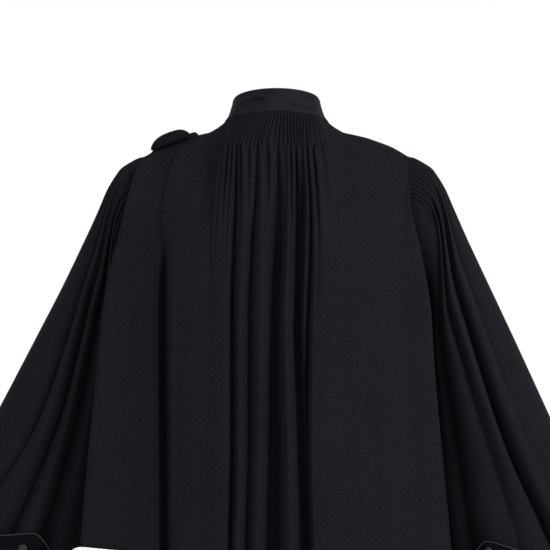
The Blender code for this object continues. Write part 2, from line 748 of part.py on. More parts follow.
def line_numbers():
    """Order of the lines round the sleeve, from the front end of the pleats over the top."""
    over = list(range(20, 32)) + list(range(0, 13))
    return over, list(range(13, 20))


def sleeve(side, folds):
    mesh = bmesh.new()
    pleated, under = head_angles()
    over_numbers, under_numbers = line_numbers()
    rows = []
    for row in (0.0, 0.8, 1.5, SLEEVE_PLEAT_END):
        over = []
        for k, angle in enumerate(pleated):
            rise = SLEEVE_PLEAT_RISE * (1 if k % 2 == 0 else -1) * (0.6 if row == 0 else 1)
            over.append(sleeve_point(row, angle, rise, side))
        below = [sleeve_point(row, angle, 0.0, side) for angle in under]
        if row == 0.0:
            for point in over + below:
                point.x = side * (armhole_x(point.z) + SEAM_GAP / 2)
        rows.append((over, below))
    for row in SLEEVE_ROWS:
        over = []
        for i, number in enumerate(over_numbers):
            head = pleated[2 * i]
            turn = -2 * math.pi if number >= 20 else 0.0
            angle, height = sleeve_line(folds, number, row, head - turn)
            flute = 3.0 * (1 - ease((row - 2.3) / 3.2)) * (1 if number % 2 == 0 else -1)
            over.append(sleeve_point(row, angle, height + flute, side))
        below = []
        for head, number in zip(under, under_numbers):
            angle, height = sleeve_line(folds, number, row, head)
            below.append(sleeve_point(row, angle, height, side))
        rows.append((over, below))
    made = []
    for over, below in rows:
        ring = new_row(mesh, over + below)
        made.append((ring[: len(over)], ring[len(over) - 1 :] + [ring[0]]))
    for (over, below), (next_over, next_below) in zip(made, made[1:]):
        if side > 0:
            strip(mesh, over, next_over)
            strip(mesh, below, next_below)
        else:
            strip(mesh, next_over, over)
            strip(mesh, next_below, below)

    def at_armhole(point):
        if abs(abs(point.x) - armhole_x(point.z) - SEAM_GAP / 2) < 0.05 and point.z > -260:
            return armhole_outwards(point)
        return None

    wall(mesh, CLOTH_WALL, at_armhole)
    return mesh


# Cuffs, turned back over the sleeve ends
def cuff_row(share, angle, peak):
    """Section number at a share of the way from the cuff's upper edge to the mouth."""
    away = abs((angle - peak + math.pi) % (2 * math.pi) - math.pi) / math.pi
    edge = CUFF_EDGE_ROW - (CUFF_EDGE_ROW - CUFF_PEAK_ROW) * math.exp(-((away / CUFF_PEAK_WIDTH) ** 2))
    return edge + (13.0 - edge) * share


def cuff_point(share, angle, peak, side, lift=0.0):
    away = (CUFF_CLEAR_LEFT if side > 0 else CUFF_CLEAR_RIGHT) + CUFF_WALL
    free = CUFF_INNER_SHARE + (1 - CUFF_INNER_SHARE) * (1 + math.cos(angle)) / 2
    height = away + (CUFF_STAND_OFF - away) * free * (1 - share) ** 0.8
    return sleeve_point(cuff_row(share, angle, peak), angle, height + lift, side)


def cuff(side, place):
    mesh = bmesh.new()
    peak = place_angle(place)
    angles = []
    for i in range(CUFF_COLUMNS):
        turn = 2 * math.pi * i / CUFF_COLUMNS
        angles.append(peak + turn - 0.35 * math.sin(turn))
    rows = []
    for share in (0.0, 0.33, 0.67, 1.0):
        ring = new_row(mesh, [cuff_point(share, angle, peak, side) for angle in angles])
        rows.append(ring + [ring[0]])
    for upper, lower in zip(rows, rows[1:]):
        if side > 0:
            strip(mesh, upper, lower)
        else:
            strip(mesh, lower, upper)
    wall(mesh, CUFF_WALL, lambda point: None)
    return mesh


# Buttons
def button(centre, normal, radius, thickness):
    """Covered button: a domed disc that stands on the cloth."""
    mesh = bmesh.new()
    profile = (
        (0.0, 0.0),
        (0.8, 0.0),
        (1.0, 0.35),
        (0.8, 0.8),
        (0.0, 1.0),
    )
    quaternion = Vector((0, 0, 1)).rotation_difference(normal)
    sides = 12
    rings = []
    for reach, rise in profile:
        if reach == 0.0:
            rings.append([mesh.verts.new(Vector((0, 0, rise * thickness)))])
            continue
        points = []
        for i in range(sides):
            turn = 2 * math.pi * i / sides
            points.append((reach * radius * math.cos(turn), reach * radius * math.sin(turn), rise * thickness))
        rings.append(new_row(mesh, points))
    for low, high in zip(rings, rings[1:]):
        for i in range(sides):
            k = (i + 1) % sides
            if len(low) == 1:
                mesh.faces.new((low[0], high[k], high[i]))
            elif len(high) == 1:
                mesh.faces.new((low[i], low[k], high[0]))
            else:
                mesh.faces.new((low[i], low[k], high[k], high[i]))
    for vertex in mesh.verts:
        vertex.co = quaternion @ vertex.co + centre
    return mesh


def front_surface(x, drop):
    """Point of the closed fronts near their middle."""
    side = 1 if x >= 0 else -1
    tops = [neck_point(side * SEAM_GAP / 2, True, SEAM_GAP / 2), neck_point(side * 30.0, True, SEAM_GAP / 2)]
    reach = min(abs(x) / 30.0, 1.0)
    top = tops[0].lerp(tops[1], reach)
    angle = side * (math.pi - (math.pi / 2) * reach * FRONT_SIDE_FOLDS[1][0])
    if drop > JOIN_DROP:
        return body_point(angle, drop, 0.0)
    return blend_down(top, angle, 0.0, (drop + top.z) / (JOIN_DROP + top.z))


def placket_face(drop):
    """Depth of the placket's outer face on its straight runs, and its slope."""
    ys = [front_surface(0.0, d).y - PLACKET_STAND for d in PLACKET_DROPS]
    y = float(np.interp(drop, PLACKET_DROPS, ys))
    slope = (float(np.interp(drop + 4, PLACKET_DROPS, ys)) - float(np.interp(drop - 4, PLACKET_DROPS, ys))) / 8
    return y, slope


def placket():
    mesh = bmesh.new()
    rows = []
    for drop in PLACKET_DROPS:
        y = placket_face(drop)[0]
        points = []
        for x in (-PLACKET_HALF, -PLACKET_HALF / 2, 0.0, PLACKET_HALF / 2, PLACKET_HALF):
            points.append((x, y, -drop))
        rows.append(new_row(mesh, points))
    for upper, lower in zip(rows, rows[1:]):
        strip(mesh, upper, lower)
    wall(mesh, CLOTH_WALL, lambda point: Vector((0, -1, 0)))
    return mesh


# Shoulder sash
def panel_depth(x, drop, front):
    """How far out the left panel lies at x and a drop, read across its lines at that height."""
    tops = side_tops(1, front)
    if not front:
        tops = [neck_point(PLEATED_LEFT, False, SEAM_GAP / 2)] + tops
    found = []
    for j, top in enumerate(tops):
        if -top.z > drop:
            previous = tops[j - 1]
            share = (drop + previous.z) / (previous.z - top.z)
            edge = previous.lerp(top, share)
            found.append((edge.x, edge.y))
            break
        if front:
            angle = math.pi - (math.pi / 2) * FRONT_SIDE_FOLDS[j + 2][0]
        else:
            first = angle_at(fold_line(0, max(drop, 40.0))[0] / level(BODY, 1, drop))
            angle = first + (math.pi / 2 - first) * ((0.0,) + tuple(f[0] for f in BACK_SIDE_FOLDS))[j]
        if drop > JOIN_DROP:
            point = body_point(angle, drop, 0.0)
        else:
            share = (drop + top.z) / (JOIN_DROP + top.z)
            point = blend_down(top, angle, 0.0, share)
        found.append((point.x, point.y))
    xs = [p[0] for p in found]
    ys = [abs(p[1]) for p in found]
    widest = ys[-1]
    for i in range(len(xs) - 1, -1, -1):
        if xs[i] < 200:
            widest = ys[i]
            break
    return max(float(np.interp(x, xs, ys)), widest * 0.9 if x > 200 else 0.0)


def sash_point(table, across, drop, front):
    """Point of a sash tail, across from its inner edge to its outer one."""
    inner = level(table, 1, drop)
    outer = level(table, 2, drop)
    stand = level(table, 3, drop) * (1 - across) + level(table, 4, drop) * across
    x = inner + (outer - inner) * across
    sign = -1 if front else 1
    seam = abs(YOKE_FRONT) if front else YOKE_BACK
    share = (drop - table[0][0]) / (SASH_OVER_DROP - table[0][0])
    if share <= 1:
        start = SASH_PARTING + sign * SEAM_GAP / 2
        y = start + (sign * seam - start) * share
        return Vector((x, y, ridge(x) - seam_drop(y) + SASH_WALL + stand * 0.6))
    middle = (inner + outer) / 2
    z = -drop - level(SASH_TILT, 1, drop) * (x - middle)
    y = max(panel_depth(x, -z, front), seam) + SASH_WALL + stand
    return Vector((x, sign * y, z))


def sash(table, front):
    mesh = bmesh.new()
    rows = []
    for drop in [row[0] for row in table]:
        points = [sash_point(table, across, drop, front) for across in (0.0, 0.25, 0.5, 0.75, 1.0)]
        rows.append(new_row(mesh, points))
    for upper, lower in zip(rows, rows[1:]):
        if front:
            strip(mesh, upper, lower)
        else:
            strip(mesh, lower, upper)

    def at_parting(point):
        if abs(point.y - SASH_PARTING) < SEAM_GAP:
            return Vector((0.35, 0, 1)).normalized()
        return None

    wall(mesh, SASH_WALL, at_parting)
    return mesh


def fur_band(table, front):
    """Thick band across the end of a tail, as deep as its fur stands."""
    mesh = bmesh.new()
    last = table[-1][0]
    slices = 6
    rings = []
    for i in range(slices + 1):
        across = -FUR_OVERHANG + (1 + 2 * FUR_OVERHANG) * i / slices
        base = sash_point(table, min(max(across, 0.0), 1.0), last, front)
        inner = level(table, 1, last)
        outer = level(table, 2, last)
        x = inner + (outer - inner) * across
        swell = 1.0 if 0 < i < slices else 0.62
        centre = Vector((x, base.y - (SASH_WALL / 2) * (-1 if front else 1), base.z))
        ring = []
        for dy, dz in (
            (-0.32, 0.0), (-0.5, -0.1), (-0.5, -0.5), (-0.5, -0.9), (-0.3, -1.0),
            (0.3, -1.0), (0.5, -0.9), (0.5, -0.5), (0.5, -0.1), (0.32, 0.0),
        ):
            tall = FUR_HEIGHT * (1.0 if 0 < i < slices else 0.96)
            z = centre.z - SEAM_GAP - 0.6 - (0 if 0 < i < slices else 2) + dz * tall
            ring.append(Vector((centre.x, centre.y + dy * FUR_DEPTH * swell, z)))
        rings.append(new_row(mesh, ring))
    for a, b in zip(rings, rings[1:]):
        for k in range(len(a)):
            n = (k + 1) % len(a)
            mesh.faces.new((a[k], a[n], b[n], b[k]))
    mesh.faces.new(list(reversed(rings[0])))
    mesh.faces.new(rings[-1])
    bmesh.ops.recalc_face_normals(mesh, faces=mesh.faces)
    return mesh


def pad():
    """Oval pad gathered round its edge, bent over the shoulder."""
    mesh = bmesh.new()
    sides = 2 * PAD_GATHERS
    profile = ((0.0, 0.0), (0.7, 0.0), (0.95, 0.2), (1.0, 0.5), (0.82, 0.87), (0.5, 0.97), (0.0, 1.0))
    rings = []
    for reach, rise in profile:
        points = []
        steps = 1 if reach == 0.0 else sides
        for i in range(steps):
            turn = 2 * math.pi * i / sides
            gather = 1 + 0.035 * (1 if i % 2 == 0 else -1) * (1 if 0.6 < reach else 0.3)
            x = PAD_MIDDLE[0] + PAD_RADII[0] * reach * gather * math.cos(turn)
            y = PAD_MIDDLE[1] + PAD_RADII[1] * reach * gather * math.sin(turn)
            out = Vector((0.35, 0.048 * y, 1.0)).normalized()
            lift = PAD_LIFT + 2 * PAD_RADII[2] * rise
            points.append(Vector((x, y, ridge(x) - seam_drop(y))) + out * lift)
        rings.append(new_row(mesh, points))
    for low, high in zip(rings, rings[1:]):
        for i in range(sides):
            k = (i + 1) % sides
            if len(low) == 1:
                mesh.faces.new((low[0], high[k], high[i]))
            elif len(high) == 1:
                mesh.faces.new((low[i], low[k], high[0]))
            else:
                mesh.faces.new((low[i], low[k], high[k], high[i]))
    return mesh


def tab():
    """Small pointed tab beside the pad."""
    mesh = bmesh.new()
    length, width, thick = TAB_SIZE
    outline = ((-0.5, -0.5), (0.3, -0.5), (0.5, 0.0), (0.3, 0.5), (-0.5, 0.5))
    rings = []
    for rise in (0.0, thick):
        points = []
        for u, w in outline:
            along = Vector((-math.cos(0.30), 0, math.sin(0.30)))
            points.append(Vector(TAB_CENTRE) + along * (u * length) + Vector((0, w * width, rise)))
        rings.append(new_row(mesh, points))
    mesh.faces.new(rings[1])
    mesh.faces.new(list(reversed(rings[0])))
    for k in range(len(outline)):
        n = (k + 1) % len(outline)
        mesh.faces.new((rings[0][k], rings[0][n], rings[1][n], rings[1][k]))
    bmesh.ops.recalc_face_normals(mesh, faces=mesh.faces)
    return mesh


def build():
    for old in list(bpy.data.objects):
        bpy.data.objects.remove(old, do_unlink=True)
    wool = material("black_wool", (0.012, 0.012, 0.014), 0.85, 0.2)
    satin = material("black_satin", (0.016, 0.016, 0.020), 0.35, 0.0)
    fur = material("white_fur", (0.80, 0.79, 0.76), 0.9, 0.3)
    button_cloth = material("button_cloth", (0.020, 0.020, 0.022), 0.5, 0.0)

    add_object("collar_band", collar(), satin)
    add_object("back_panel", back(), wool)
    add_object("front_left", front(1), wool)
    add_object("front_right", front(-1), wool)
    add_object("yoke_left", yoke(1), wool)
    add_object("yoke_right", yoke(-1), wool)
    add_object("sleeve_left", sleeve(1, LEFT_SLEEVE_FOLDS), wool)
    add_object("sleeve_right", sleeve(-1, RIGHT_SLEEVE_FOLDS), wool)
    add_object("cuff_left", cuff(1, CUFF_PEAK_LEFT), satin)
    add_object("cuff_right", cuff(-1, CUFF_PEAK_RIGHT), satin)
    add_object("front_placket", placket(), wool)
    for i in range(FRONT_BUTTONS):
        drop = FIRST_BUTTON_DROP + BUTTON_SPACING * i
        y, slope = placket_face(drop)
        facing = Vector((0, -1, -slope)).normalized()
        centre = Vector((0, y, -drop)) + facing * 2 * SEAM_GAP
        name = "front_button_%02d" % (i + 1)
        add_object(name, button(centre, facing, BUTTON_RADIUS, BUTTON_THICKNESS), button_cloth)
    for name, side, place in (("left", 1, CUFF_PEAK_LEFT), ("right", -1, CUFF_PEAK_RIGHT)):
        peak = place_angle(place)
        at = cuff_point(0.12, peak, peak, side)
        over = cuff_point(0.12, peak, peak, side, 1.0) - at
        centre = at + over.normalized() * 2 * SEAM_GAP
        add_object(
            "cuff_button_" + name, button(centre, over.normalized(), 7.0, 4.5), button_cloth
        )
    add_object("sash_back_tail", sash(SASH_BACK, False), wool)
    add_object("sash_front_tail", sash(SASH_FRONT, True), wool)
    add_object("fur_band_back", fur_band(SASH_BACK, False), fur)
    add_object("fur_band_front", fur_band(SASH_FRONT, True), fur)
    add_object("sash_pad", pad(), wool)
    add_object("sash_tab", tab(), wool)


build()
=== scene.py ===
import math
from math import pi

import bmesh
import bpy
import numpy as np
from mathutils import Matrix, Vector


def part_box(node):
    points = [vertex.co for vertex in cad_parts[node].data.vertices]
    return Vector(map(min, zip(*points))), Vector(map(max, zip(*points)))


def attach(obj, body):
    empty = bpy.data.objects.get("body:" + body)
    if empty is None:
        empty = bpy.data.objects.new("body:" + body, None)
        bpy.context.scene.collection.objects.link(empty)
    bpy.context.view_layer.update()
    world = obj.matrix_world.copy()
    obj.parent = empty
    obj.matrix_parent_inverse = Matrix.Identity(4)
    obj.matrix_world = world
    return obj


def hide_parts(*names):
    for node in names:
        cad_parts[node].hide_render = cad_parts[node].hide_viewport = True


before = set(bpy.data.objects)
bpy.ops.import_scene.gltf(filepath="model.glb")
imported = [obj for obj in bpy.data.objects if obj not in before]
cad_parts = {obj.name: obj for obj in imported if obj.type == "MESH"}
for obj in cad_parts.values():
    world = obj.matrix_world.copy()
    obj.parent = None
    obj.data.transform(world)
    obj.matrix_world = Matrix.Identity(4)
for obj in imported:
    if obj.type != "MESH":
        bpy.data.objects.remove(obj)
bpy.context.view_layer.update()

# Black judicial robe in its worn shape. -Y is the front, +X the wearer's left, the origin is in the neck opening.
# Sizes in the dictionaries are in millimetres.
mm = 0.001
seam = 0.04  # gap between neighbouring cloths
sides = (("Left", 1), ("Right", -1))
print("frame loaded")


def curve(xs, ys, at):
    # smooth curve through a few points that never swings past them
    xs = np.asarray(xs, float)
    ys = np.asarray(ys, float)
    steps = np.diff(xs)
    slopes = np.diff(ys) / steps
    tangents = np.zeros(len(xs))
    tangents[0], tangents[-1] = slopes[0], slopes[-1]
    for i in range(1, len(xs) - 1):
        if slopes[i - 1] * slopes[i] > 0:
            tangents[i] = 2 * slopes[i - 1] * slopes[i] / (slopes[i - 1] + slopes[i])
    at = np.clip(np.asarray(at, float), xs[0], xs[-1])
    i = np.clip(np.searchsorted(xs, at, side="right") - 1, 0, len(steps) - 1)
    t = (at - xs[i]) / steps[i]
    a = ys[i] * (1 + 2 * t) * (1 - t) ** 2 + tangents[i] * steps[i] * t * (1 - t) ** 2
    b = ys[i + 1] * t * t * (3 - 2 * t) - tangents[i + 1] * steps[i] * t * t * (1 - t)
    return a + b


def ease(t):
    t = np.clip(t, 0.0, 1.0)
    return t * t * (3 - 2 * t)


def col(table, k):
    return [row[k] for row in table]


def fromPairs(pairs, at):
    return curve(*zip(*pairs), at)


def slowWaves(u, v, seed, size, count=6):
    # slow unevenness between about -1 and 1, the same on every run
    rng = np.random.default_rng(seed)
    total = np.zeros(np.broadcast(u, v).shape)
    for _ in range(count):
        a, b = rng.uniform(0.4, 1.6, 2) / size
        c, d = rng.uniform(-1, 1), rng.uniform(0, 6.28)
        total = total + np.sin(a * u + c * b * v + d)
    return total / count * 1.5


def tube(phase, sharp=0.7):
    # pleat profile: round ridge at whole numbers, sharp valley half way
    return 2 * np.abs(np.cos(pi * phase)) ** sharp - 1


# materials
def newMaterial(name):
    mat = bpy.data.materials.new(name)
    mat.use_nodes = True
    tree = mat.node_tree
    return mat, tree, tree.nodes["Principled BSDF"]


def addNode(tree, kind, **values):
    node = tree.nodes.new(kind)
    for key, value in values.items():
        if key.startswith("in_"):
            node.inputs[key[3:].replace("_", " ")].default_value = value
        else:
            setattr(node, key, value)
    return node


def blendColours(tree, factor, dark, light, position=(0.3, 0.7)):
    ramp = addNode(tree, "ShaderNodeValToRGB")
    ramp.color_ramp.elements[0].position = position[0]
    ramp.color_ramp.elements[1].position = position[1]
    ramp.color_ramp.elements[0].color = (*dark, 1)
    ramp.color_ramp.elements[1].color = (*light, 1)
    tree.links.new(factor, ramp.inputs[0])
    return ramp.outputs[0]


def noiseOn(tree, scale, detail=4.0, roughness=0.5):
    # noise that is fixed to the piece
    place = addNode(tree, "ShaderNodeTexCoord")
    noise = addNode(tree, "ShaderNodeTexNoise", in_Scale=scale, in_Detail=detail, in_Roughness=roughness)
    tree.links.new(place.outputs["Object"], noise.inputs["Vector"])
    return noise.outputs["Fac"]


def threadLines(tree, pitch, distortion, degrees=0.0):
    # lines that follow the cloth, pitch in millimetres; a wave texture draws 20 lines in a length of 1
    uv = addNode(tree, "ShaderNodeUVMap", uv_map="cloth")
    turn = addNode(tree, "ShaderNodeMapping", in_Rotation=(0, 0, math.radians(degrees)))
    tree.links.new(uv.outputs[0], turn.inputs[0])
    lines = addNode(tree, "ShaderNodeTexWave", in_Scale=1000 / pitch / 20, in_Distortion=distortion, in_Detail=2.0)
    tree.links.new(turn.outputs[0], lines.inputs["Vector"])
    return lines.outputs["Fac"]


def bumpFrom(tree, height, strength, distance, under=None):
    bump = addNode(tree, "ShaderNodeBump", in_Strength=strength, in_Distance=distance)
    tree.links.new(height, bump.inputs["Height"])
    if under is not None:
        tree.links.new(under, bump.inputs["Normal"])
    return bump.outputs[0]


def unevenRoughness(tree, shader, factor, low, high):
    spread = addNode(tree, "ShaderNodeMapRange", in_To_Min=low, in_To_Max=high)
    tree.links.new(factor, spread.inputs[0])
    tree.links.new(spread.outputs[0], shader.inputs["Roughness"])


woolLook = {
    "dark": (0.0040, 0.0044, 0.0056),
    "light": (0.0098, 0.0104, 0.0130),
    "contrast": (0.31, 0.69),  # where the noise turns dark and light
    "roughness": 0.85,
    "sheen": 0.015,
    "sheenRoughness": 0.45,
    "sheenTint": (0.75, 0.8, 1.0),
    "gloss": 0.01,
    "twill": 1.1,  # millimetres from rib to rib
    "twillAngle": 58,
    "mottleScale": 9.0,
    "napScale": 380.0,
    "napShare": 0.85,  # the rest of the colour is the mottle
}


def makeWool(name, look):
    mat, tree, shader = newMaterial(name)
    twill = threadLines(tree, look["twill"], 0.6, look["twillAngle"])
    mottle = noiseOn(tree, look["mottleScale"], 5.0, 0.6)
    nap = noiseOn(tree, look["napScale"], 2.0, 0.8)
    mixed = addNode(tree, "ShaderNodeMix", in_Factor=look["napShare"])
    tree.links.new(mottle, mixed.inputs["A"])
    tree.links.new(nap, mixed.inputs["B"])
    colour = blendColours(tree, mixed.outputs["Result"], look["dark"], look["light"], look["contrast"])
    tree.links.new(colour, shader.inputs["Base Color"])
    ribs = bumpFrom(tree, twill, 0.18, 0.00025)
    tree.links.new(bumpFrom(tree, nap, 0.25, 0.0003, ribs), shader.inputs["Normal"])
    unevenRoughness(tree, shader, mottle, look["roughness"] - 0.07, look["roughness"] + 0.07)
    shader.inputs["Sheen Weight"].default_value = look["sheen"]
    shader.inputs["Sheen Roughness"].default_value = look["sheenRoughness"]
    shader.inputs["Sheen Tint"].default_value = (*look["sheenTint"], 1)
    shader.inputs["Specular IOR Level"].default_value = look["gloss"]
    return mat


satinLook = {
    "dark": (0.0066, 0.0069, 0.0086),
    "light": (0.0112, 0.0117, 0.0142),
    "roughness": 0.50,
    "ribs": 0.9,  # millimetres from thread to thread
    "cloudScale": 42.0,
    "gloss": 0.012,
}


def makeSatin(name, look):
    mat, tree, shader = newMaterial(name)
    threads = threadLines(tree, look["ribs"], 1.2)
    cloudy = noiseOn(tree, look["cloudScale"], 4.0, 0.55)
    tree.links.new(blendColours(tree, cloudy, look["dark"], look["light"]), shader.inputs["Base Color"])
    soft = bumpFrom(tree, cloudy, 0.35, 0.0012)
    tree.links.new(bumpFrom(tree, threads, 0.08, 0.0002, soft), shader.inputs["Normal"])
    unevenRoughness(tree, shader, cloudy, look["roughness"] - 0.06, look["roughness"] + 0.10)
    shader.inputs["Specular IOR Level"].default_value = look["gloss"]
    return mat


def makePlain(name, dark, light, roughness, scale, bump):
    mat, tree, shader = newMaterial(name)
    grain = noiseOn(tree, scale)
    tree.links.new(blendColours(tree, grain, dark, light), shader.inputs["Base Color"])
    tree.links.new(bumpFrom(tree, grain, 0.3, bump), shader.inputs["Normal"])
    shader.inputs["Roughness"].default_value = roughness
    shader.inputs["Specular IOR Level"].default_value = 0.15
    return mat


wool = makeWool("wool", woolLook)
sashWool = makeWool("sashWool", {**woolLook, "dark": (0.0038, 0.0041, 0.0052), "light": (0.0090, 0.0095, 0.0118)})
# a lighter copy of the wool, with a higher dark end than the sash, for the sash's hem cords: painted highlight where
# the hem's fold catches light
hemWoolPaintedHighlight = makeWool("hemWoolPaintedHighlight", {**woolLook, "dark": (0.0050, 0.0054, 0.0066), "light": (0.0092, 0.0097, 0.0118)})
satin = makeSatin("satin", satinLook)
# a darker copy of the satin for the cuffs: painted shade, the cuffs being the same satin as the collar but hanging in
# shade
cuffSatinPaintedShade = makeSatin("cuffSatinPaintedShade", {**satinLook, "dark": (0.0016, 0.0018, 0.0026), "light": (0.0036, 0.0039, 0.0050)})
# light grey cord colour along the cuffs' rim: partly the real piping, partly a painted highlight on the edge
pipingPaintedHighlight = makePlain("pipingPaintedHighlight", (0.016, 0.016, 0.018), (0.026, 0.026, 0.029), 0.6, 900, 0.0002)
buttonCloth = makePlain("buttonCloth", (0.010, 0.010, 0.012), (0.018, 0.018, 0.021), 0.6, 1600, 0.0003)
thread = makePlain("thread", (0.0046, 0.0049, 0.0060), (0.0080, 0.0085, 0.0102), 0.6, 1500, 0.0002)
fur = makePlain("fur", (0.66, 0.64, 0.60), (0.86, 0.85, 0.82), 0.85, 300, 0.0006)
fur.node_tree.nodes["Principled BSDF"].inputs["Sheen Weight"].default_value = 0.3
print("materials made")


# pieces
def finishPiece(name, bm, look, nodes=(), wall=0.0):
    # wall is the cloth's thickness in millimetres, and it grows inwards
    mesh = bpy.data.meshes.new(name)
    bm.to_mesh(mesh)
    bm.free()
    mesh.shade_smooth()
    mesh.materials.append(look)
    piece = bpy.data.objects.new(name, mesh)
    bpy.context.scene.collection.objects.link(piece)
    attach(piece, "root")
    if nodes:
        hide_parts(*nodes)
    if wall:
        shell = piece.modifiers.new("wall", "SOLIDIFY")
        shell.thickness = wall * mm
        shell.offset = -1
    return piece


def clothGrid(across, down, place, closed=False, flip=False):
    # a flat grid, laid onto the garment by place(u, v) with u and v from 0 to 1
    bm = bmesh.new()
    bmesh.ops.create_grid(bm, x_segments=across, y_segments=down, size=0.5)
    bm.verts.index_update()
    flat = np.array([v.co[:2] for v in bm.verts]) + 0.5
    points = np.stack(place(flat[:, 0], 1 - flat[:, 1]), 1) * mm
    for vert, point in zip(bm.verts, points):
        vert.co = point
    layer = bm.loops.layers.uv.new("cloth")
    wide, high = [max(np.ptp(points[:, k]), 0.02) for k in (0, 2)]
    for face in bm.faces:
        for loop in face.loops:
            u, v = flat[loop.vert.index]
            loop[layer].uv = (u * wide * 1.3, v * high)  # folds make the cloth wider than it looks
    if closed:
        bmesh.ops.remove_doubles(bm, verts=bm.verts, dist=2e-5)
    if flip:
        bmesh.ops.reverse_faces(bm, faces=bm.faces)
    return bm


cordSides = 8


def cordMesh(points, radius, closed=False):
    # round cord along a row of points in millimetres
    ahead = np.roll(points, -1, 0) - np.roll(points, 1, 0)
    if not closed:
        ahead[0], ahead[-1] = points[1] - points[0], points[-1] - points[-2]
    ahead = ahead / np.linalg.norm(ahead, axis=1)[:, None]
    across = np.cross(ahead, (0.31, 0.9, 0.3))  # a direction that no cord here runs in
    across = across / np.linalg.norm(across, axis=1)[:, None]
    up = np.cross(ahead, across)
    turns = [2 * pi * k / cordSides for k in range(cordSides)]
    bm = bmesh.new()
    rings = []
    for p, a, b in zip(points, across, up):
        rings.append([bm.verts.new((p + radius * (math.cos(t) * a + math.sin(t) * b)) * mm) for t in turns])
    for low, high in list(zip(rings, rings[1:])) + ([(rings[-1], rings[0])] if closed else []):
        for k in range(cordSides):
            n = (k + 1) % cordSides
            bm.faces.new((low[k], low[n], high[n], high[k]))
    if not closed:
        bm.faces.new(rings[0])
        bm.faces.new(rings[-1])
    bmesh.ops.recalc_face_normals(bm, faces=bm.faces)
    return bm


def sewLine(name, points, spacing, size=(1.5, 0.42, 0.42)):
    # a row of stitches along points in millimetres, size is the half length, width and height of one
    steps = np.linalg.norm(np.diff(points, axis=0), axis=1)
    along = np.concatenate([[0], np.cumsum(steps)])
    bm = bmesh.new()
    for at in np.arange(spacing / 2, along[-1], spacing):
        p, q = [Vector([float(np.interp(a, along, points[:, k])) for k in range(3)]) for a in (at, at + 0.5)]
        turn = (q - p).to_track_quat("X", "Z").to_matrix().to_4x4() if (q - p).length > 1e-6 else Matrix()
        matrix = Matrix.Translation(p * mm) @ turn @ Matrix.Diagonal((*[k * mm for k in size], 1))
        bmesh.ops.create_uvsphere(bm, u_segments=6, v_segments=4, radius=1, matrix=matrix)
    finishPiece(name, bm, thread)


# the body of the robe
body = {
    # drop, half width, depth to the back, depth to the front
    "sections": [
        (-20, 196, 122, 108), (120, 209, 127, 120), (180, 217, 131, 126), (257, 231, 135, 132), (370, 238, 140, 138),
        (490, 247, 146, 144), (656, 261, 156, 154), (900, 285, 172, 168), (1290, 324, 196, 190),
    ],
    "square": -0.05,  # above 0 the section is squarer than an ellipse
    "join": 300.0,  # drop from which the cloth hangs free
    "hem": 1290.0,
    "collarSlope": 0.258,
    "collarBack": 72.0,
    "collarFront": 68.0,
    "neckHalf": 82.0,
    "yokeBack": 22.0,
    "yokeFront": -20.0,
    "shoulder": [(83, 0), (101, -11), (120, -15.5), (139, -20), (157, -26), (180, -35), (206, -50)],
    "shoulderPlaces": (104.0, 136.0, 170.0),
    "wall": 1.3,
}
armhole = {"top": -50.0, "bottom": -255.0, "depth": 52.0, "x": 206.0, "lean": 0.039, "angles": (58, 90, 120, 150, 180)}


def sectionX(a):
    return (np.sin(a) - body["square"] * np.sin(3 * a)) / (1 + body["square"])


def sectionY(a):
    return (np.cos(a) + body["square"] * np.cos(3 * a)) / (1 + body["square"])


angleSteps = np.linspace(-pi / 2, pi / 2, 361)
sectionSteps = sectionX(angleSteps)


def bodyPoint(angle, drop, height):
    drops = col(body["sections"], 0)
    half = curve(drops, col(body["sections"], 1), drop)
    back, front = [curve(drops, col(body["sections"], k), drop) for k in (2, 3)]
    depth = np.where(np.cos(angle) >= 0, back, front)
    x = half * sectionX(angle)
    y = depth * sectionY(angle)
    dx = half * (sectionX(angle + 0.01) - sectionX(angle - 0.01))
    dy = depth * (sectionY(angle + 0.01) - sectionY(angle - 0.01))
    length = np.hypot(dx, dy)
    return x - dy / length * height, y + dx / length * height


def halfWidth(drop):
    return curve(col(body["sections"], 0), col(body["sections"], 1), drop)


def armholeX(z):
    return armhole["x"] + (armhole["top"] - z) * armhole["lean"]


def armholePoint(degrees, side, front):
    a = np.radians(degrees)
    z = (armhole["top"] + armhole["bottom"]) / 2 + (armhole["top"] - armhole["bottom"]) / 2 * np.cos(a)
    y = armhole["depth"] * np.sin(a) * (-1 if front else 1)
    return side * (armholeX(z) - seam / 2), y, z


def ridge(x):
    return curve(col(body["shoulder"], 0), col(body["shoulder"], 1), np.abs(x))


def seamDrop(y):
    return 0.024 * y * y


def neckPoint(x, front):
    depth = body["collarFront"] if front else body["collarBack"]
    y = depth * np.sqrt(np.maximum(0, 1 - (x / body["neckHalf"]) ** 2)) * (-1 if front else 1)
    return x, y, body["collarSlope"] * y - seam / 2


def blendDown(top, angle, height, share):
    # from the top edge, share 0, to the plain section where the cloth hangs free, share 1
    drop = -top[2] + share * (body["join"] + top[2])
    gx, gy = bodyPoint(angle, drop, height)
    out = 1 - (1 - share) ** 2.5
    # beyond the shoulder's edge the cloth spreads later at first and then faster
    late = 0.1 * ease((np.abs(top[0]) - 150) / 56)
    slow = ease((share - late) / (1 - late)) ** 0.8
    quick = 1 - (1 - share) ** 1.5
    x = top[0] + (gx - top[0]) * (slow + 0.3 * (quick - slow) * ease((np.abs(top[0]) - 195) / 10))
    y = top[1] + (gy - top[1]) * out
    return x, y, -drop


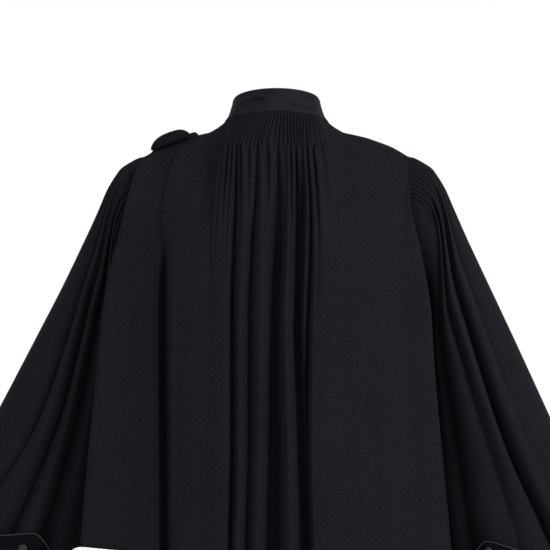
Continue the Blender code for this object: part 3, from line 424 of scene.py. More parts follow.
def sideTop(q, side, front, start):
    # top edge of a side panel: q 0 to 1 along the neck, to 5 along the shoulder seam, to 10 down the armhole
    sign = -1 if front else 1
    ySeam = (body["yokeFront"] if front else body["yokeBack"]) + sign * seam / 2
    ring = body["collarFront"] if front else body["collarBack"]
    corner = body["neckHalf"] * math.sqrt(1 - (ySeam / ring) ** 2)
    nx, ny, nz = neckPoint(start + (corner - start) * np.clip(q, 0, 1), front)
    sx = np.interp(q, (1, 2, 3, 4, 5), (corner, *body["shoulderPlaces"], armhole["x"]))
    cornerZ = body["collarSlope"] * ySeam - seam / 2
    sz = ridge(sx) - seamDrop(ySeam)
    sz = np.where(q < 2, cornerZ + (ridge(body["shoulderPlaces"][0]) - seamDrop(ySeam) - cornerZ) * (q - 1), sz)
    first = math.degrees(math.asin(abs(ySeam) / armhole["depth"]))
    ax, ay, az = armholePoint(np.interp(q, range(5, 11), (first, *armhole["angles"])), 1, front)
    ay = np.where(q > 9.99, sign * seam / 2, ay)
    endX, _, endZ = armholePoint(first, 1, front)
    near = ease(q - 4)  # the shoulder seam runs into the armhole corner
    sx = np.where(q > 4, sx + (endX - armhole["x"]) * near, sx)
    sz = np.where(q > 4, sz + (endZ - (ridge(armhole["x"]) - seamDrop(ySeam))) * near, sz)
    x = np.where(q <= 1, nx, np.where(q <= 5, sx, ax))
    y = np.where(q <= 1, ny, np.where(q <= 5, ySeam, ay))
    z = np.where(q <= 1, nz, np.where(q <= 5, sz, az))
    return side * x, y, z


def between(lines, heights, at):
    # heights between numbered lines: a ridge stays round and a valley is sharp
    lines = np.asarray(lines, float)
    i = np.clip(np.searchsorted(lines, at, side="right") - 1, 0, len(lines) - 2)
    share = (at - lines[i]) / (lines[i + 1] - lines[i])
    rows = np.arange(len(at))
    low, high = heights[rows, i], heights[rows, i + 1]
    bend = np.where(low > high, share ** 1.9, 1 - (1 - share) ** 1.9)
    return low + (high - low) * bend, i, share


backFolds = {
    "columns": (0, 53, 277, 330),  # of the grid: left side, centre, right side
    "rows": 140,
    "lastLine": 32,  # lines run from 0 to 32 across the centre
    "drops": (40, 121, 180, 319, 490, 656, 1290),
    # line, x at each drop, height off the plain section at each drop
    "centre": [
        (0, (88, 97, 100, 104, 108, 112, 128), (0, 0, 0, 0, 0, 0, 0)),
        (6, (65, 70, 74, 77, 77, 80, 92), (1, 3, 4, 4, 4, 4, 7)),
        (7, (61, 63, 66, 70, 70, 73, 84), (-2, -9, -14, -22, -26, -28, -34)),
        (9, (52, 51, 52, 57, 57, 61, 68), (1, 4, 5, 5, 5, 5, 8)),
        (13, (29, 32, 38, 43, 43, 47, 50), (-2, -8, -13, -17, -18, -18, -24)),
        (15, (20, 21, 22, 24, 26, 30, 30), (1, 4, 5, 6, 6, 6, 10)),
        (17, (0, 0, 1, 6, 10, 14, 14), (-2, -16, -26, -36, -42, -46, -52)),
        (18, (-4, -7, -8, 0, 0, 0, -2), (-2, -16, -26, -35, -41, -45, -51)),
        (20, (-17, -18, -17, -14, -18, -21, -24), (1, 4, 6, 7, 7, 7, 10)),
        (23, (-30, -31, -31, -29, -36, -42, -44), (-2, -18, -26, -34, -38, -42, -48)),
        (25, (-38, -42, -40, -35, -41, -47, -50), (-2, -16, -24, -32, -37, -41, -47)),
        (26, (-42, -47, -46, -42, -45, -50, -54), (0, 1, 0, -6, -26, -36, -42)),
        (27, (-47, -52, -53, -50, -49, -53, -58), (-2, -9, -14, -20, -28, -36, -42)),
        (28, (-52, -58, -60, -56, -54, -57, -64), (1, 3, 4, 4, 4, 4, 7)),
        (32, (-82, -92, -96, -98, -100, -104, -120), (0, 0, 0, 0, 0, 0, 0)),
    ],
    "pleatedTo": (68.0, -66.0),
    # valleys between the flutes that run out of the pleats, as lines
    "flutes": (1.25, 3.47, 5.03, 6.8, 8.2, 10.6, 13.0, 15.65, 17.5, 19.55, 21.13, 22.9, 25.45, 27.12, 28.57, 30.3),
    # drop, how far the flutes stand out, how deep the valleys between them are
    "fluteRise": ((29, 0.0), (36, 1.2), (60, 1.8), (120, 1.2), (200, 0.0)),
    "fluteDepth": ((29, 0.0), (34, 4.0), (42, 8.0), (60, 8.5), (90, 7.0), (130, 4.5), (180, 2.0), (225, 0.0)),
    "fluteNarrow": ((34, 3.2), (60, 1.4)),
    "pleats": 28,
    "pleatRise": ((-18, 0.8), (-14, 2.2), (0, 2.7), (28, 2.7), (38, 1.0), (50, 0.0)),
    # fold that falls outwards over the right sleeve's seam: drop, reach, then its share from line to line
    "underarm": (
        (98, 0), (118, 6), (180, 17), (242, 26), (300, 29), (370, 29), (470, 30), (656, 28), (900, 16), (1290, 10),
    ),
    "underarmLines": ((5, 0.0), (6, 1.0), (7, 0.85), (8, 0.45), (9, 0.08), (10, 0.0)),
    "underarmLift": 9.0,
    "unevenness": 1.1,
    # hollow of the back under the inner edge of the sash
    "groove": {"x": 177.0, "width": 7.0, "depth": 24.0, "from": 130, "over": 170},
    # share of the way to the side seam, height at the drops below
    "sideDrops": (200, 400, 656, 1290),
    "side": [
        (0.00, 0, 0, 0, 0), (0.08, 0, 0, -1, -6), (0.17, -1, -2, -3, -16), (0.26, 0, 1, 2, 8), (0.34, -1, -1, -2, -12),
        (0.42, 0, 1, 2, 8), (0.50, -1, -3, -5, -14), (0.58, 0, 2, 4, 8), (0.67, -1, -6, -10, -16), (0.82, 1, 8, 12, 12),
        (1.00, 0, -3, -4, 0),
    ],
}


def lineHeights(drops, rows, at):
    return np.stack([curve(drops, row, at) for row in rows], 1)


def foldX(line, drop):
    table = backFolds["centre"]
    xs, hs = [lineHeights(backFolds["drops"], col(table, k), drop) for k in (1, 2)]
    height, i, share = between(col(table, 0), hs, line)
    rows = np.arange(len(line))
    return xs[rows, i] + (xs[rows, i + 1] - xs[rows, i]) * share, height


# place of the rows: v, then their share of the way down to where the cloth hangs free
rowSpread = {"v": (0, 0.32, 0.62, 1), "backShare": (0, 0.2, 1, 1), "share": (0, 0.3, 1, 1)}


def rowDrop(v, topZ, shares="share"):
    # rows are closest near the top
    free = rowSpread["v"][2]
    share = np.interp(v, rowSpread["v"], rowSpread[shares])
    upper = -topZ + share * (body["join"] + topZ)
    lower = body["join"] + (body["hem"] - body["join"]) * np.clip((v - free) / (1 - free), 0, 1)
    return share, np.where(v <= free, upper, lower)


def fluteRelief(inner, drop):
    # flutes that run out of the pleats: the sines make neighbours unequal in length and depth
    edges, last = np.asarray(backFolds["flutes"]), backFolds["lastLine"]
    k = np.clip(np.searchsorted(edges, inner, side="right") - 1, 0, len(edges) - 2)
    f = np.clip((inner - edges[k]) / (edges[k + 1] - edges[k]), 0, 1)
    m = k + (f > 0.5)  # the nearest valley
    deep = 1 - np.sin(pi * f)
    deep = np.where(inner > edges[-1], ease((last - inner) / (last - edges[-1])), deep)
    deep = np.where(inner < edges[0], ease(inner / edges[0]), deep)
    reach = np.where(drop > 42, 42 + (drop - 42) * (1 + 0.4 * np.sin(m * 1.7)), drop + 3 * np.sin(m * 2.3))
    rise = fromPairs(backFolds["fluteRise"], drop) * (1 - deep) * (1 + 0.4 * np.sin(k * 2.1))
    narrow = deep ** fromPairs(backFolds["fluteNarrow"], drop)
    return rise - fromPairs(backFolds["fluteDepth"], reach) * narrow * (0.8 + 0.3 * np.sin(m * 1.9 + 0.4))


def backPlace(u, v):
    # lines across: -10 to 0 the left side, 0 to 32 the centre, 32 to 42 the right side
    last = backFolds["lastLine"]
    columns = backFolds["columns"]
    line = np.interp(u, [c / columns[-1] for c in columns], (-10, 0, last, last + 10))
    side = np.where(line < last / 2, 1, -1)
    q = np.where(line < 0, -line, np.where(line > last, line - last, 0))
    inner = np.clip(line, 0, last)
    left, right = backFolds["pleatedTo"]
    xTop = left + (right - left) * inner / last
    sideTops = sideTop(q, side, False, np.where(side > 0, left, -right))
    centre = (line >= 0) & (line <= last)
    top = [np.where(centre, c, s) for c, s in zip(neckPoint(xTop, False), sideTops)]
    share, drop = rowDrop(v, top[2], "backShare")
    # centre
    xFold, height = foldX(inner, np.maximum(drop, 40.0))
    angle = np.interp(xFold / halfWidth(drop), sectionSteps, angleSteps)
    cy = blendDown(top, angle, 0.0, share)[1]
    lx, ly = bodyPoint(angle, drop, height)
    edgeFade = ease(np.minimum(inner + 0.3, last + 0.3 - inner) / 1.0)
    pleat = tube(inner / last * backFolds["pleats"], 0.6) * fromPairs(backFolds["pleatRise"], drop) * edgeFade
    ringX, ringY = top[0] / body["neckHalf"] ** 2, top[1] / body["collarBack"] ** 2
    ring = np.maximum(np.hypot(ringX, ringY), 1e-6)
    cx = xTop + (xFold - xTop) * ease(share / 0.16) + pleat * ringX / ring
    cy = cy + height * ease(share / 0.14) + fluteRelief(inner, drop) + pleat * ringY / ring
    cx, cy = np.where(share < 1, cx, lx), np.where(share < 1, cy, ly)
    # sides
    edge = foldX(np.where(side > 0, 0.0, float(last)), np.maximum(drop, 40.0))[0]
    first = np.interp(edge / halfWidth(drop), sectionSteps, angleSteps)
    sideAngle = first + (side * pi / 2 - first) * np.interp(q, range(11), col(backFolds["side"], 0))
    heights = lineHeights(backFolds["sideDrops"], [row[1:] for row in backFolds["side"]], drop)
    sideHeight = between(range(11), heights, q)[0]
    bx, by, _ = blendDown(top, sideAngle, sideHeight * ease(share), share)
    px, py = bodyPoint(sideAngle, drop, sideHeight)
    weight = fromPairs(backFolds["underarmLines"], q) * (side < 0)
    reach = fromPairs(backFolds["underarm"], drop) * weight * ease(share / 0.4)
    lift = backFolds["underarmLift"] * weight * (1 - (1 - share) ** 6) * ease((body["hem"] - drop) / 600)
    sx = np.where(share < 1, bx, px) - reach
    sy = np.where(share < 1, by, py) + lift
    groove = backFolds["groove"]
    hollow = groove["depth"] * np.exp(-(((sx - groove["x"]) / groove["width"]) ** 2))
    sy = sy - hollow * ease((drop - groove["from"]) / groove["over"]) * (side > 0) * ease((10 - q) / 2)
    sy = np.where(q > 9.99, seam / 2, sy)
    x = np.where(centre, cx, sx)
    y = np.where(centre, cy, sy)
    loose = ease((drop - 60) / 200) * ease((10 - q) / 1.0)
    return x, y + loose * backFolds["unevenness"] * slowWaves(x, drop * 0.35, 4, 26), -drop


backGrid = clothGrid(backFolds["columns"][-1], backFolds["rows"], backPlace)
finishPiece("backCloth", backGrid, wool, ["back_panel"], body["wall"])
print("back made")

frontFolds = {
    "grid": (150, 110),
    "unevenness": 1.6,
    "neck": (30.0, 52.0, 70.0),  # x of lines 1 to 3
    "drops": (200, 400, 656, 1290),
    # share of the way from the centre front to the side seam, height at each drop
    "lines": [
        (0.00, 0, 0, 0, 0), (0.09, 0, 0, 0, 0), (0.17, -1, -4, -9, -20), (0.25, 0, 2, 4, 10), (0.33, -1, -3, -7, -18),
        (0.41, 0, 2, 4, 10), (0.48, -1, -3, -6, -16), (0.55, 0, 1, 3, 8), (0.61, -1, -3, -5, -14), (0.66, 0, 1, 2, 8),
        (0.71, -1, -2, -4, -12), (0.77, 0, 1, 2, 6), (0.87, -1, -2, -4, -12), (1.00, 0, -3, -4, 0),
    ],
}


def frontPlace(side):
    lines = range(len(frontFolds["lines"]))
    last = lines[-1]

    def place(u, v):
        # lines across: 0 the centre front, 1 to 3 along the neck, 4 the collar's end, 8 the armhole, 13 the side seam
        line = np.interp(u if side < 0 else 1 - u, (0, 1), (0, last))
        neckTops = neckPoint(np.interp(line, (0, 1, 2, 3), (seam / 2, *frontFolds["neck"])), True)
        sideTops = sideTop(np.maximum(line - 3, 0), 1, True, frontFolds["neck"][-1])
        top = [np.where(line <= 3, a, b) for a, b in zip(neckTops, sideTops)]
        top[0] = side * top[0]
        share, drop = rowDrop(v, top[2])
        angle = side * (pi - (pi / 2) * np.interp(line, lines, col(frontFolds["lines"], 0)))
        heights = lineHeights(frontFolds["drops"], [row[1:] for row in frontFolds["lines"]], drop)
        height = between(lines, heights, line)[0]
        bx, by, _ = blendDown(top, angle, height * ease(share), share)
        px, py = bodyPoint(angle, drop, height)
        x = np.where(line < 0.01, side * seam / 2, np.where(share < 1, bx, px))
        y = np.where(line > last - 0.01, -seam / 2, np.where(share < 1, by, py))
        loose = ease((drop - 40) / 220) * ease((line - 1.0) / 1.0) * ease((last - line) / 1.0)
        return x, y + loose * frontFolds["unevenness"] * slowWaves(x, drop * 0.35, 11 + side, 24), -drop
    return place


for word, side in sides:
    bm = clothGrid(*frontFolds["grid"], frontPlace(side), flip=True)
    finishPiece("front" + word + "Cloth", bm, wool, ["front_" + word.lower()], body["wall"])
print("fronts made")


def yokePlace(side):
    places = (*body["shoulderPlaces"], armhole["x"])

    def place(u, v):
        depth = body["yokeBack"] - seam / 2 + (body["yokeFront"] + seam - body["yokeBack"]) * v
        ring = np.where(depth > 0, body["collarBack"], body["collarFront"])
        inner = body["neckHalf"] * np.sqrt(1 - (depth / ring) ** 2)
        endX, _, endZ = armholePoint(np.degrees(np.arcsin(np.abs(depth) / armhole["depth"])), 1, False)
        q = (u if side < 0 else 1 - u) * 4  # 0 at the neck, 1 to 4 at the shoulder's places
        x = np.interp(q, (1, 2, 3, 4), places)
        z = ridge(x) - seamDrop(depth)
        cornerZ = body["collarSlope"] * depth - seam / 2
        z = np.where(q < 1, cornerZ + (ridge(places[0]) - seamDrop(depth) - cornerZ) * q, z)
        x = np.where(q < 1, inner + (places[0] - inner) * q, x)
        near = ease(q - 3)  # runs into the armhole
        x = x + np.where(q > 3, (endX - places[-1]) * near, 0)
        z = z + np.where(q > 3, (endZ - (ridge(places[-1]) - seamDrop(depth))) * near, 0)
        return side * x, depth, z
    return place


for word, side in sides:
    bm = clothGrid(48, 20, yokePlace(side), flip=True)
    finishPiece("yoke" + word + "Cloth", bm, wool, ["yoke_" + word.lower()], body["wall"])
print("shoulder strips made")

# sleeves
sleeve = {
    # outer x and z, inner x and z, half depth, middle y, extra reach of the left one
    "sections": [
        (206, -50, 214, -255, 52, 0, 0), (222, -57, 223, -264, 57, 0, 0), (241, -71, 231, -280, 61, -1, 0),
        (260, -98, 236, -304, 64, -3, 0), (278, -137, 239, -340, 67, -5, 0), (300, -186, 242, -390, 70, -8, 1),
        (330, -251, 246, -440, 73, -10, 2), (366, -329, 250, -492, 76, -12, 6), (408, -421, 254, -546, 80, -14, 12),
        (452, -517, 259, -600, 84, -16, 19), (497, -613, 266, -650, 88, -18, 25), (535, -697, 273, -697, 90, -19, 31),
        (560, -752, 281, -738, 90, -20, 35), (583, -803, 290, -775, 88, -20, 39),
    ],
    "grid": (300, 130),
    "lastRow": 13.0,  # the number of the last section
    "pleats": 24,
    "pitch": 7.4,
    "unevenness": 1.2,
    "foldRows": (2.15, 5.0, 8.0, 10.0, 11.0, 13.0),
    # line, place at the last five of those rows (0 outer edge, 100 inner edge past the back), height at all six
    "right": [
        (0, (2, 5, 6, 6, 5), (0, 2, 4, 4, 2, 0)),
        (3, (16, 22, 22, 22, 20), (-1, -9, -5, -2, -1, 0)),
        (4, (24, 29, 27, 27, 25), (1, 6, 4, 2, 1, 0)),
        (6, (35, 39, 34, 33, 32), (-4, -16, -25, -27, -18, -6)),
        (8, (45, 45, 45, 44, 42), (3, 10, 11, 8, 3, 0)),
        (9, (53, 53, 55, 56, 56), (-7, -10, -6, -2, -1, 0)),
        (10, (62, 63, 68, 70, 70), (3, 5, 3, 1, 0, 0)),
        (11, (80, 85, 88, 86, 82), (-1, -9, -14, -14, -10, -5)),
        (13, (95, 97, 97, 96, 94), (0, 2, 2, 2, 1, 0)),
        (16, (108, 108, 108, 108, 106), (0, 0, 0, 0, 0, 0)),
        (19, (122, 124, 124, 124, 122), (0, -5, -10, -10, -8, -4)),
        (22, (142, 142, 142, 142, 140), (1, 6, 8, 6, 3, 0)),
        (24, (155, 154, 153, 153, 152), (-1, -12, -18, -18, -12, -5)),
        (26, (168, 166, 166, 166, 165), (1, 7, 8, 6, 3, 0)),
        (28, (180, 178, 178, 178, 178), (-1, -9, -8, -6, -3, -1)),
    ],
    "left": [
        (0, (4, 11, 12, 13, 14), (0, 2, 3, 3, 2, 0)),
        (3, (16, 29, 21, 21, 21), (-1, -9, -14, -10, -6, -2)),
        (4, (22, 37, 31, 30, 29), (1, 5, 7, 7, 3, 0)),
        (6, (30, 45, 44, 44, 44), (-1, -12, -20, -22, -15, -6)),
        (7, (37, 53, 54, 53, 52), (1, 5, 9, 8, 3, 0)),
        (9, (47, 61, 63, 62, 61), (-1, -12, -20, -22, -15, -6)),
        (11, (61, 72, 77, 75, 74), (0, 4, 6, 6, 3, 0)),
        (14, (90, 93, 93, 93, 91), (0, 0, -2, -4, -3, -1)),
        (17, (112, 111, 111, 111, 111), (0, 0, 0, 0, 0, 0)),
        (20, (129, 128, 127, 127, 126), (-1, -7, -12, -12, -8, -4)),
        (22, (141, 141, 140, 139, 137), (1, 5, 7, 6, 3, 0)),
        (25, (159, 156, 152, 152, 151), (-1, -11, -17, -17, -12, -5)),
        (27, (173, 167, 163, 163, 162), (1, 6, 7, 6, 3, 0)),
        (29, (183, 178, 174, 173, 172), (-1, -8, -8, -5, -3, -1)),
    ],
    "wall": 1.3,
}


def sleeveFrame(row, side):
    rows = range(len(sleeve["sections"]))
    ox, oz, ix, iz, depth, my, more = [curve(rows, col(sleeve["sections"], k), row) for k in range(7)]
    ox = ox + more * (side > 0)
    return (ox + ix) / 2, my, (oz + iz) / 2, (ox - ix) / 2, (oz - iz) / 2, depth


def sleevePoint(row, angle, height, side):
    mx, my, mz, hx, hz, depth = sleeveFrame(row, side)
    chord = np.hypot(hx, hz)
    c, s = np.cos(angle), np.sin(angle)
    nx, ny, nz = hx / chord * c / chord, s / depth, hz / chord * c / chord
    n = np.sqrt(nx * nx + ny * ny + nz * nz)
    return side * (mx + hx * c + nx / n * height), my + depth * s + ny / n * height, mz + hz * c + nz / n * height


def placeAngle(p):
    p = np.asarray(p, float)
    return np.where(p <= 1, np.arccos(1 - 2 * np.clip(p, 0, 1)), 2 * pi - np.arccos(1 - 2 * np.clip(2 - p, 0, 1)))


headAngles = np.linspace(0, pi, 600)
headHalf = float(np.hypot(*[float(v) for v in sleeveFrame(0.0, 1)[3:5]]))
headSteps = np.hypot(np.diff(armhole["depth"] * np.sin(headAngles)), np.diff(headHalf * np.cos(headAngles)))
headLengths = np.concatenate([[0], np.cumsum(headSteps)])


def headAngle(line):
    # angle round the armhole of a line from -12 to 20, even along the seam
    last = sleeve["pleats"] * sleeve["pitch"] / 2
    total = headLengths[-1]
    arc = np.where(line <= 12, np.abs(line) * sleeve["pitch"], last + (2 * (total - last)) * (line - 12) / 8)
    near = np.interp(np.minimum(arc, total), headLengths, headAngles)
    far = 2 * pi - np.interp(np.minimum(2 * total - arc, total), headLengths, headAngles)
    return np.where(line < 0, -near, np.where(arc <= total, near, far))


def foldAngle(rows, places, turns, at):
    return curve(rows, placeAngle([p - 2 * turns for p in places]) + 2 * pi * turns, at)


def sleevePlace(side, folds):
    # lines run round the sleeve from -12 to 20, and -12 is the same as 20
    rows = sleeve["foldRows"]
    table = [(n, [p / 100 for p in places], heights) for n, places, heights in folds]
    table.append((32, [2 + p for p in table[0][1]], table[0][2]))

    def place(u, v):
        line = np.interp(u if side > 0 else 1 - u, (0, 0.8, 1), (-12, 12, 20))
        row = sleeve["lastRow"] * v ** 1.25
        at = np.maximum(row, rows[1])
        angles = np.stack([foldAngle(rows[1:], r[1], r[0] // 32, at) for r in table], 1)
        heights = lineHeights(rows, col(table, 2), row)
        height, i, share = between(col(table, 0), heights, np.where(line < 0, line + 32, line))
        k = np.arange(len(line))
        goal = angles[k, i] + (angles[k, i + 1] - angles[k, i]) * share
        goal = np.where(line < 0, goal - 2 * pi, goal)
        head = headAngle(line)
        angle = head + (goal - head) * ease((row - rows[0]) / (rows[1] - rows[0]))
        height = height * ease((row - 1.6) / 1.2)
        # pleats of the head, then the flutes that run out of them to unequal lengths
        pleated = ease((12.4 - np.abs(np.minimum(line, 12.4))) / 0.6)
        pleat = tube(line, 0.75) * curve((0, 0.5, 1.9, 2.5), (0.8, 1.8, 1.7, 0.0), row) * pleated
        reach = 1.6 + 1.6 * (0.5 + 0.5 * np.sin(np.round(line / 2) * 2.4 + side))
        fade = ease((row - 1.2) / 1.2) * (1 - ease((row - 2.3) / (reach + 1.6)))
        flute = tube(line / 2 + 0.05 * np.sin(line)) * 3.0 * fade * pleated
        loose = sleeve["unevenness"] * ease((row - 2.5) / 2.5) * slowWaves(angle * 70, row * 14, 21 + side, 22)
        x, y, z = sleevePoint(row, angle, height + pleat + flute + loose, side)
        flat = ease(row / 0.5)  # the first half row lies against the armhole
        x = np.where(row < 0.5, side * (armholeX(z) + seam / 2) * (1 - flat) + x * flat, x)
        return x, y, z
    return place


for word, side in sides:
    bm = clothGrid(*sleeve["grid"], sleevePlace(side, sleeve[word.lower()]), closed=True)
    finishPiece("sleeve" + word + "Cloth", bm, wool, ["sleeve_" + word.lower()], sleeve["wall"])
print("sleeves made")

# satin collar and cuffs
collar = {
    "height": 38.5, "widths": (82.0, 75.0, 70.5, 67.0), "shares": (0.0, 0.3, 0.65, 1.0), "taper": 5.0,
    "gap": 0.008,  # half the opening at the front, in radians
    "wall": 2.2,
    "unevenness": 0.7,
    # x and z along a soft swell on the left of the back with a hollow below it, and along a crease on the right
    "swell": {"line": [(14, 37), (22, 42), (32, 43.5), (45, 38.5), (60, 29)], "rise": 3.6, "fall": 1.6, "below": 7.0},
    "crease": {"line": [(-58, 23.5), (-40, 26.5), (-18, 30.0)], "rise": -2.6, "fall": -1.0, "below": -5.0},
    "swellWidths": (2.4, 3.2), "swellEnds": 6.0,
}


def collarPlace(u, v):
    share = 1 - v
    angle = pi - collar["gap"] - (2 * pi - 2 * collar["gap"]) * u
    plain = curve(collar["shares"], collar["widths"], share)
    depth = np.where(np.cos(angle) > 0, body["collarBack"], body["collarFront"]) - collar["taper"] * share
    x = plain * np.sin(angle)
    z = body["collarSlope"] * depth * np.cos(angle) + seam / 2 + collar["height"] * share
    back = ease(np.cos(angle) * 4)
    width = plain
    for shape in (collar["swell"], collar["crease"]):
        xs, zs = zip(*shape["line"])
        above = z - curve(xs, zs, x)
        window = ease((x - xs[0]) / collar["swellEnds"]) * ease((xs[-1] - x) / collar["swellEnds"]) * back
        rise = shape["rise"] * np.exp(-(above / collar["swellWidths"][0]) ** 2)
        fall = shape["fall"] * np.exp(-((above + shape["below"]) / collar["swellWidths"][1]) ** 2)
        width = width + window * (rise - fall)
    soft = collar["unevenness"] * slowWaves(angle * 60, share * 40, 33, 16) * np.sin(pi * share)
    # a thin roll at the seam, and both edges turned in
    roll = 0.9 * np.exp(-((share - 0.06) / 0.035) ** 2) - 0.8 * np.exp(-(share / 0.02) ** 2)
    roll = roll - 0.7 * ease((share - 0.94) / 0.06)
    grow = (width + soft + roll) / plain
    return x * grow, depth * np.cos(angle) * grow, z


finishPiece("collarBand", clothGrid(240, 24, collarPlace), satin, ["collar_band"], collar["wall"])

cuff = {
    "grid": (240, 20), "standOff": 13.0, "wall": 1.8, "pipingPaintedHighlight": 0.9,
    "innerShare": 0.35,  # how much of the stand off the inner side of the arm has
    "even": 0.35,  # brings the columns closer at the corner
    "unevenness": 0.5,
    "buttonShare": 0.12,
    # the corner's place round the sleeve, its gap to the sleeve, then its form in rows of the sleeve
    "Left": {
        "peak": 0.57, "away": 4.65, "peakRow": 10.0, "edgeRow": 10.38, "width": 0.22, "round": 1.2,
        "slit": 1.5, "reach": 0.9,
    },
    "Right": {
        "peak": 0.74, "away": 3.65, "peakRow": 10.1, "edgeRow": 10.75, "width": 0.165, "round": 1.5,
        "slit": 0.2, "reach": 0.32,
    },
}


def cuffPoint(share, angle, peak, side, lift=0.0):
    form = cuff["Left" if side > 0 else "Right"]
    turned = (angle - peak + pi) % (2 * pi) - pi
    crest = np.exp(-((np.abs(turned) / pi / form["width"]) ** form["round"]))
    edge = form["edgeRow"] - (form["edgeRow"] - form["peakRow"]) * crest
    # the inner side of the corner runs down to the fold of the cuff
    slit = ease(turned / form["reach"]) * (1 - ease((turned - form["reach"] - 0.18) / 1.4))
    edge = edge + form["slit"] * slit
    free = cuff["innerShare"] + (1 - cuff["innerShare"]) * (1 + np.cos(angle)) / 2
    height = form["away"] + (cuff["standOff"] - form["away"]) * free * (1 - share) ** 0.8
    return sleevePoint(edge + (sleeve["lastRow"] - edge) * share, angle, height + lift, side)


for word, side in sides:
    peak = placeAngle(cuff[word]["peak"])

    def cuffAngle(turn):
        return peak + turn - cuff["even"] * np.sin(turn)

    def cuffPlace(u, v):
        angle = cuffAngle(2 * pi * (u if side > 0 else 1 - u))
        dent = cuff["unevenness"] * slowWaves(angle * 80, v * 60, 41 + side, 20) * np.sin(pi * v)
        return cuffPoint(v, angle, peak, side, dent)

    bm = clothGrid(*cuff["grid"], cuffPlace, closed=True)
    # the cuffs' darker satin is painted shade
    finishPiece("cuff" + word + "Band", bm, cuffSatinPaintedShade, ["cuff_" + word.lower()], cuff["wall"])
    turn = np.linspace(0, 2 * pi, cuff["grid"][0] + 1)[:-1]
    ring = np.stack(cuffPoint(0.0, cuffAngle(turn), peak, side), 1)
    # the piping's light colour is partly a painted highlight along the cuff's edge
    finishPiece("cuffPiping" + word, cordMesh(ring, cuff["pipingPaintedHighlight"], closed=True), pipingPaintedHighlight)
print("collar and cuffs made")


# closing and buttons
closing = {
    "grid": (16, 210), "half": 17.0, "stand": 2.4, "top": 26.0, "bottom": 1288.0, "wall": 2.5,
    "drops": (26, 50, 80, 115, 155, 200, 250, 300, 380, 470, 570, 680, 800, 940, 1110, 1288),
    "edge": (1.5, 0.35),  # width and depth of the turned edges
}


def frontDepth(drop):
    # depth of the closed fronts at their middle
    _, topY, topZ = neckPoint(seam / 2, True)
    share = np.clip((drop + topZ) / (body["join"] + topZ), 0, 1)
    angle = np.full(drop.shape, pi)
    by = blendDown([seam / 2, topY, topZ], angle, 0.0, share)[1]
    return np.where(share < 1, by, bodyPoint(angle, drop, 0.0)[1])


placketDepths = frontDepth(np.array(closing["drops"], float)) - closing["stand"]


def placketDepth(drop):
    return np.interp(drop, closing["drops"], placketDepths)


def placketPlace(u, v):
    drop = closing["top"] + (closing["bottom"] - closing["top"]) * v
    x = closing["half"] * (2 * u - 1)
    width, depth = closing["edge"]
    edge = ease((np.abs(x) - closing["half"] + width) / width)
    return x, placketDepth(drop) + depth * edge + 0.12 * slowWaves(x, drop * 0.5, 52, 14), -drop


bm = clothGrid(*closing["grid"], placketPlace)
finishPiece("placketCloth", bm, wool, ["front_placket"], closing["wall"])

buttonLook = {
    "count": 9,
    "front": (7.3, 4.8),  # radius and height
    "cuff": (6.8, 4.3),
    "sides": 40,
    # shares of radius and height: flat back, round rim, low dome
    "profile": [
        (0.0, 0.0), (0.55, 0.0), (0.82, 0.02), (0.95, 0.14), (1.0, 0.34), (0.97, 0.52), (0.88, 0.7), (0.74, 0.84),
        (0.55, 0.94), (0.3, 0.99), (0.0, 1.0),
    ],
}


def coveredButton(name, node, normal, size):
    # turned from its profile, in the place of the CAD node
    low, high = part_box(node)
    middle = (Vector(low) + Vector(high)) / 2
    radius, height = size
    bm = bmesh.new()
    verts = [bm.verts.new((r * radius * mm, 0, (h - 0.5) * height * mm)) for r, h in buttonLook["profile"]]
    for a, b in zip(verts, verts[1:]):
        bm.edges.new((a, b))
    bmesh.ops.spin(
        bm, geom=bm.verts[:] + bm.edges[:], axis=(0, 0, 1), cent=(0, 0, 0),
        angle=2 * pi, steps=buttonLook["sides"], use_merge=True,
    )
    bmesh.ops.remove_doubles(bm, verts=bm.verts, dist=1e-5)
    bmesh.ops.recalc_face_normals(bm, faces=bm.faces)
    turn = Vector((0, 0, 1)).rotation_difference(normal)
    for vert in bm.verts:
        vert.co = turn @ vert.co + middle
    finishPiece(name, bm, buttonCloth, [node])


for i in range(1, buttonLook["count"] + 1):
    node = "front_button_%02d" % i
    drop = -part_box(node)[0][2] * 1000
    slope = float(placketDepth(drop + 4) - placketDepth(drop - 4)) / 8
    coveredButton("frontButton%02d" % i, node, Vector((0, -1, -slope)).normalized(), buttonLook["front"])
for word, side in sides:
    peak = placeAngle(cuff[word]["peak"])
    a, b = [Vector([float(c) for c in cuffPoint(cuff["buttonShare"], peak, peak, side, lift)]) for lift in (0.0, 1.0)]
    coveredButton("cuffButton" + word, "cuff_button_" + word.lower(), (b - a).normalized(), buttonLook["cuff"])
print("closing and buttons made")

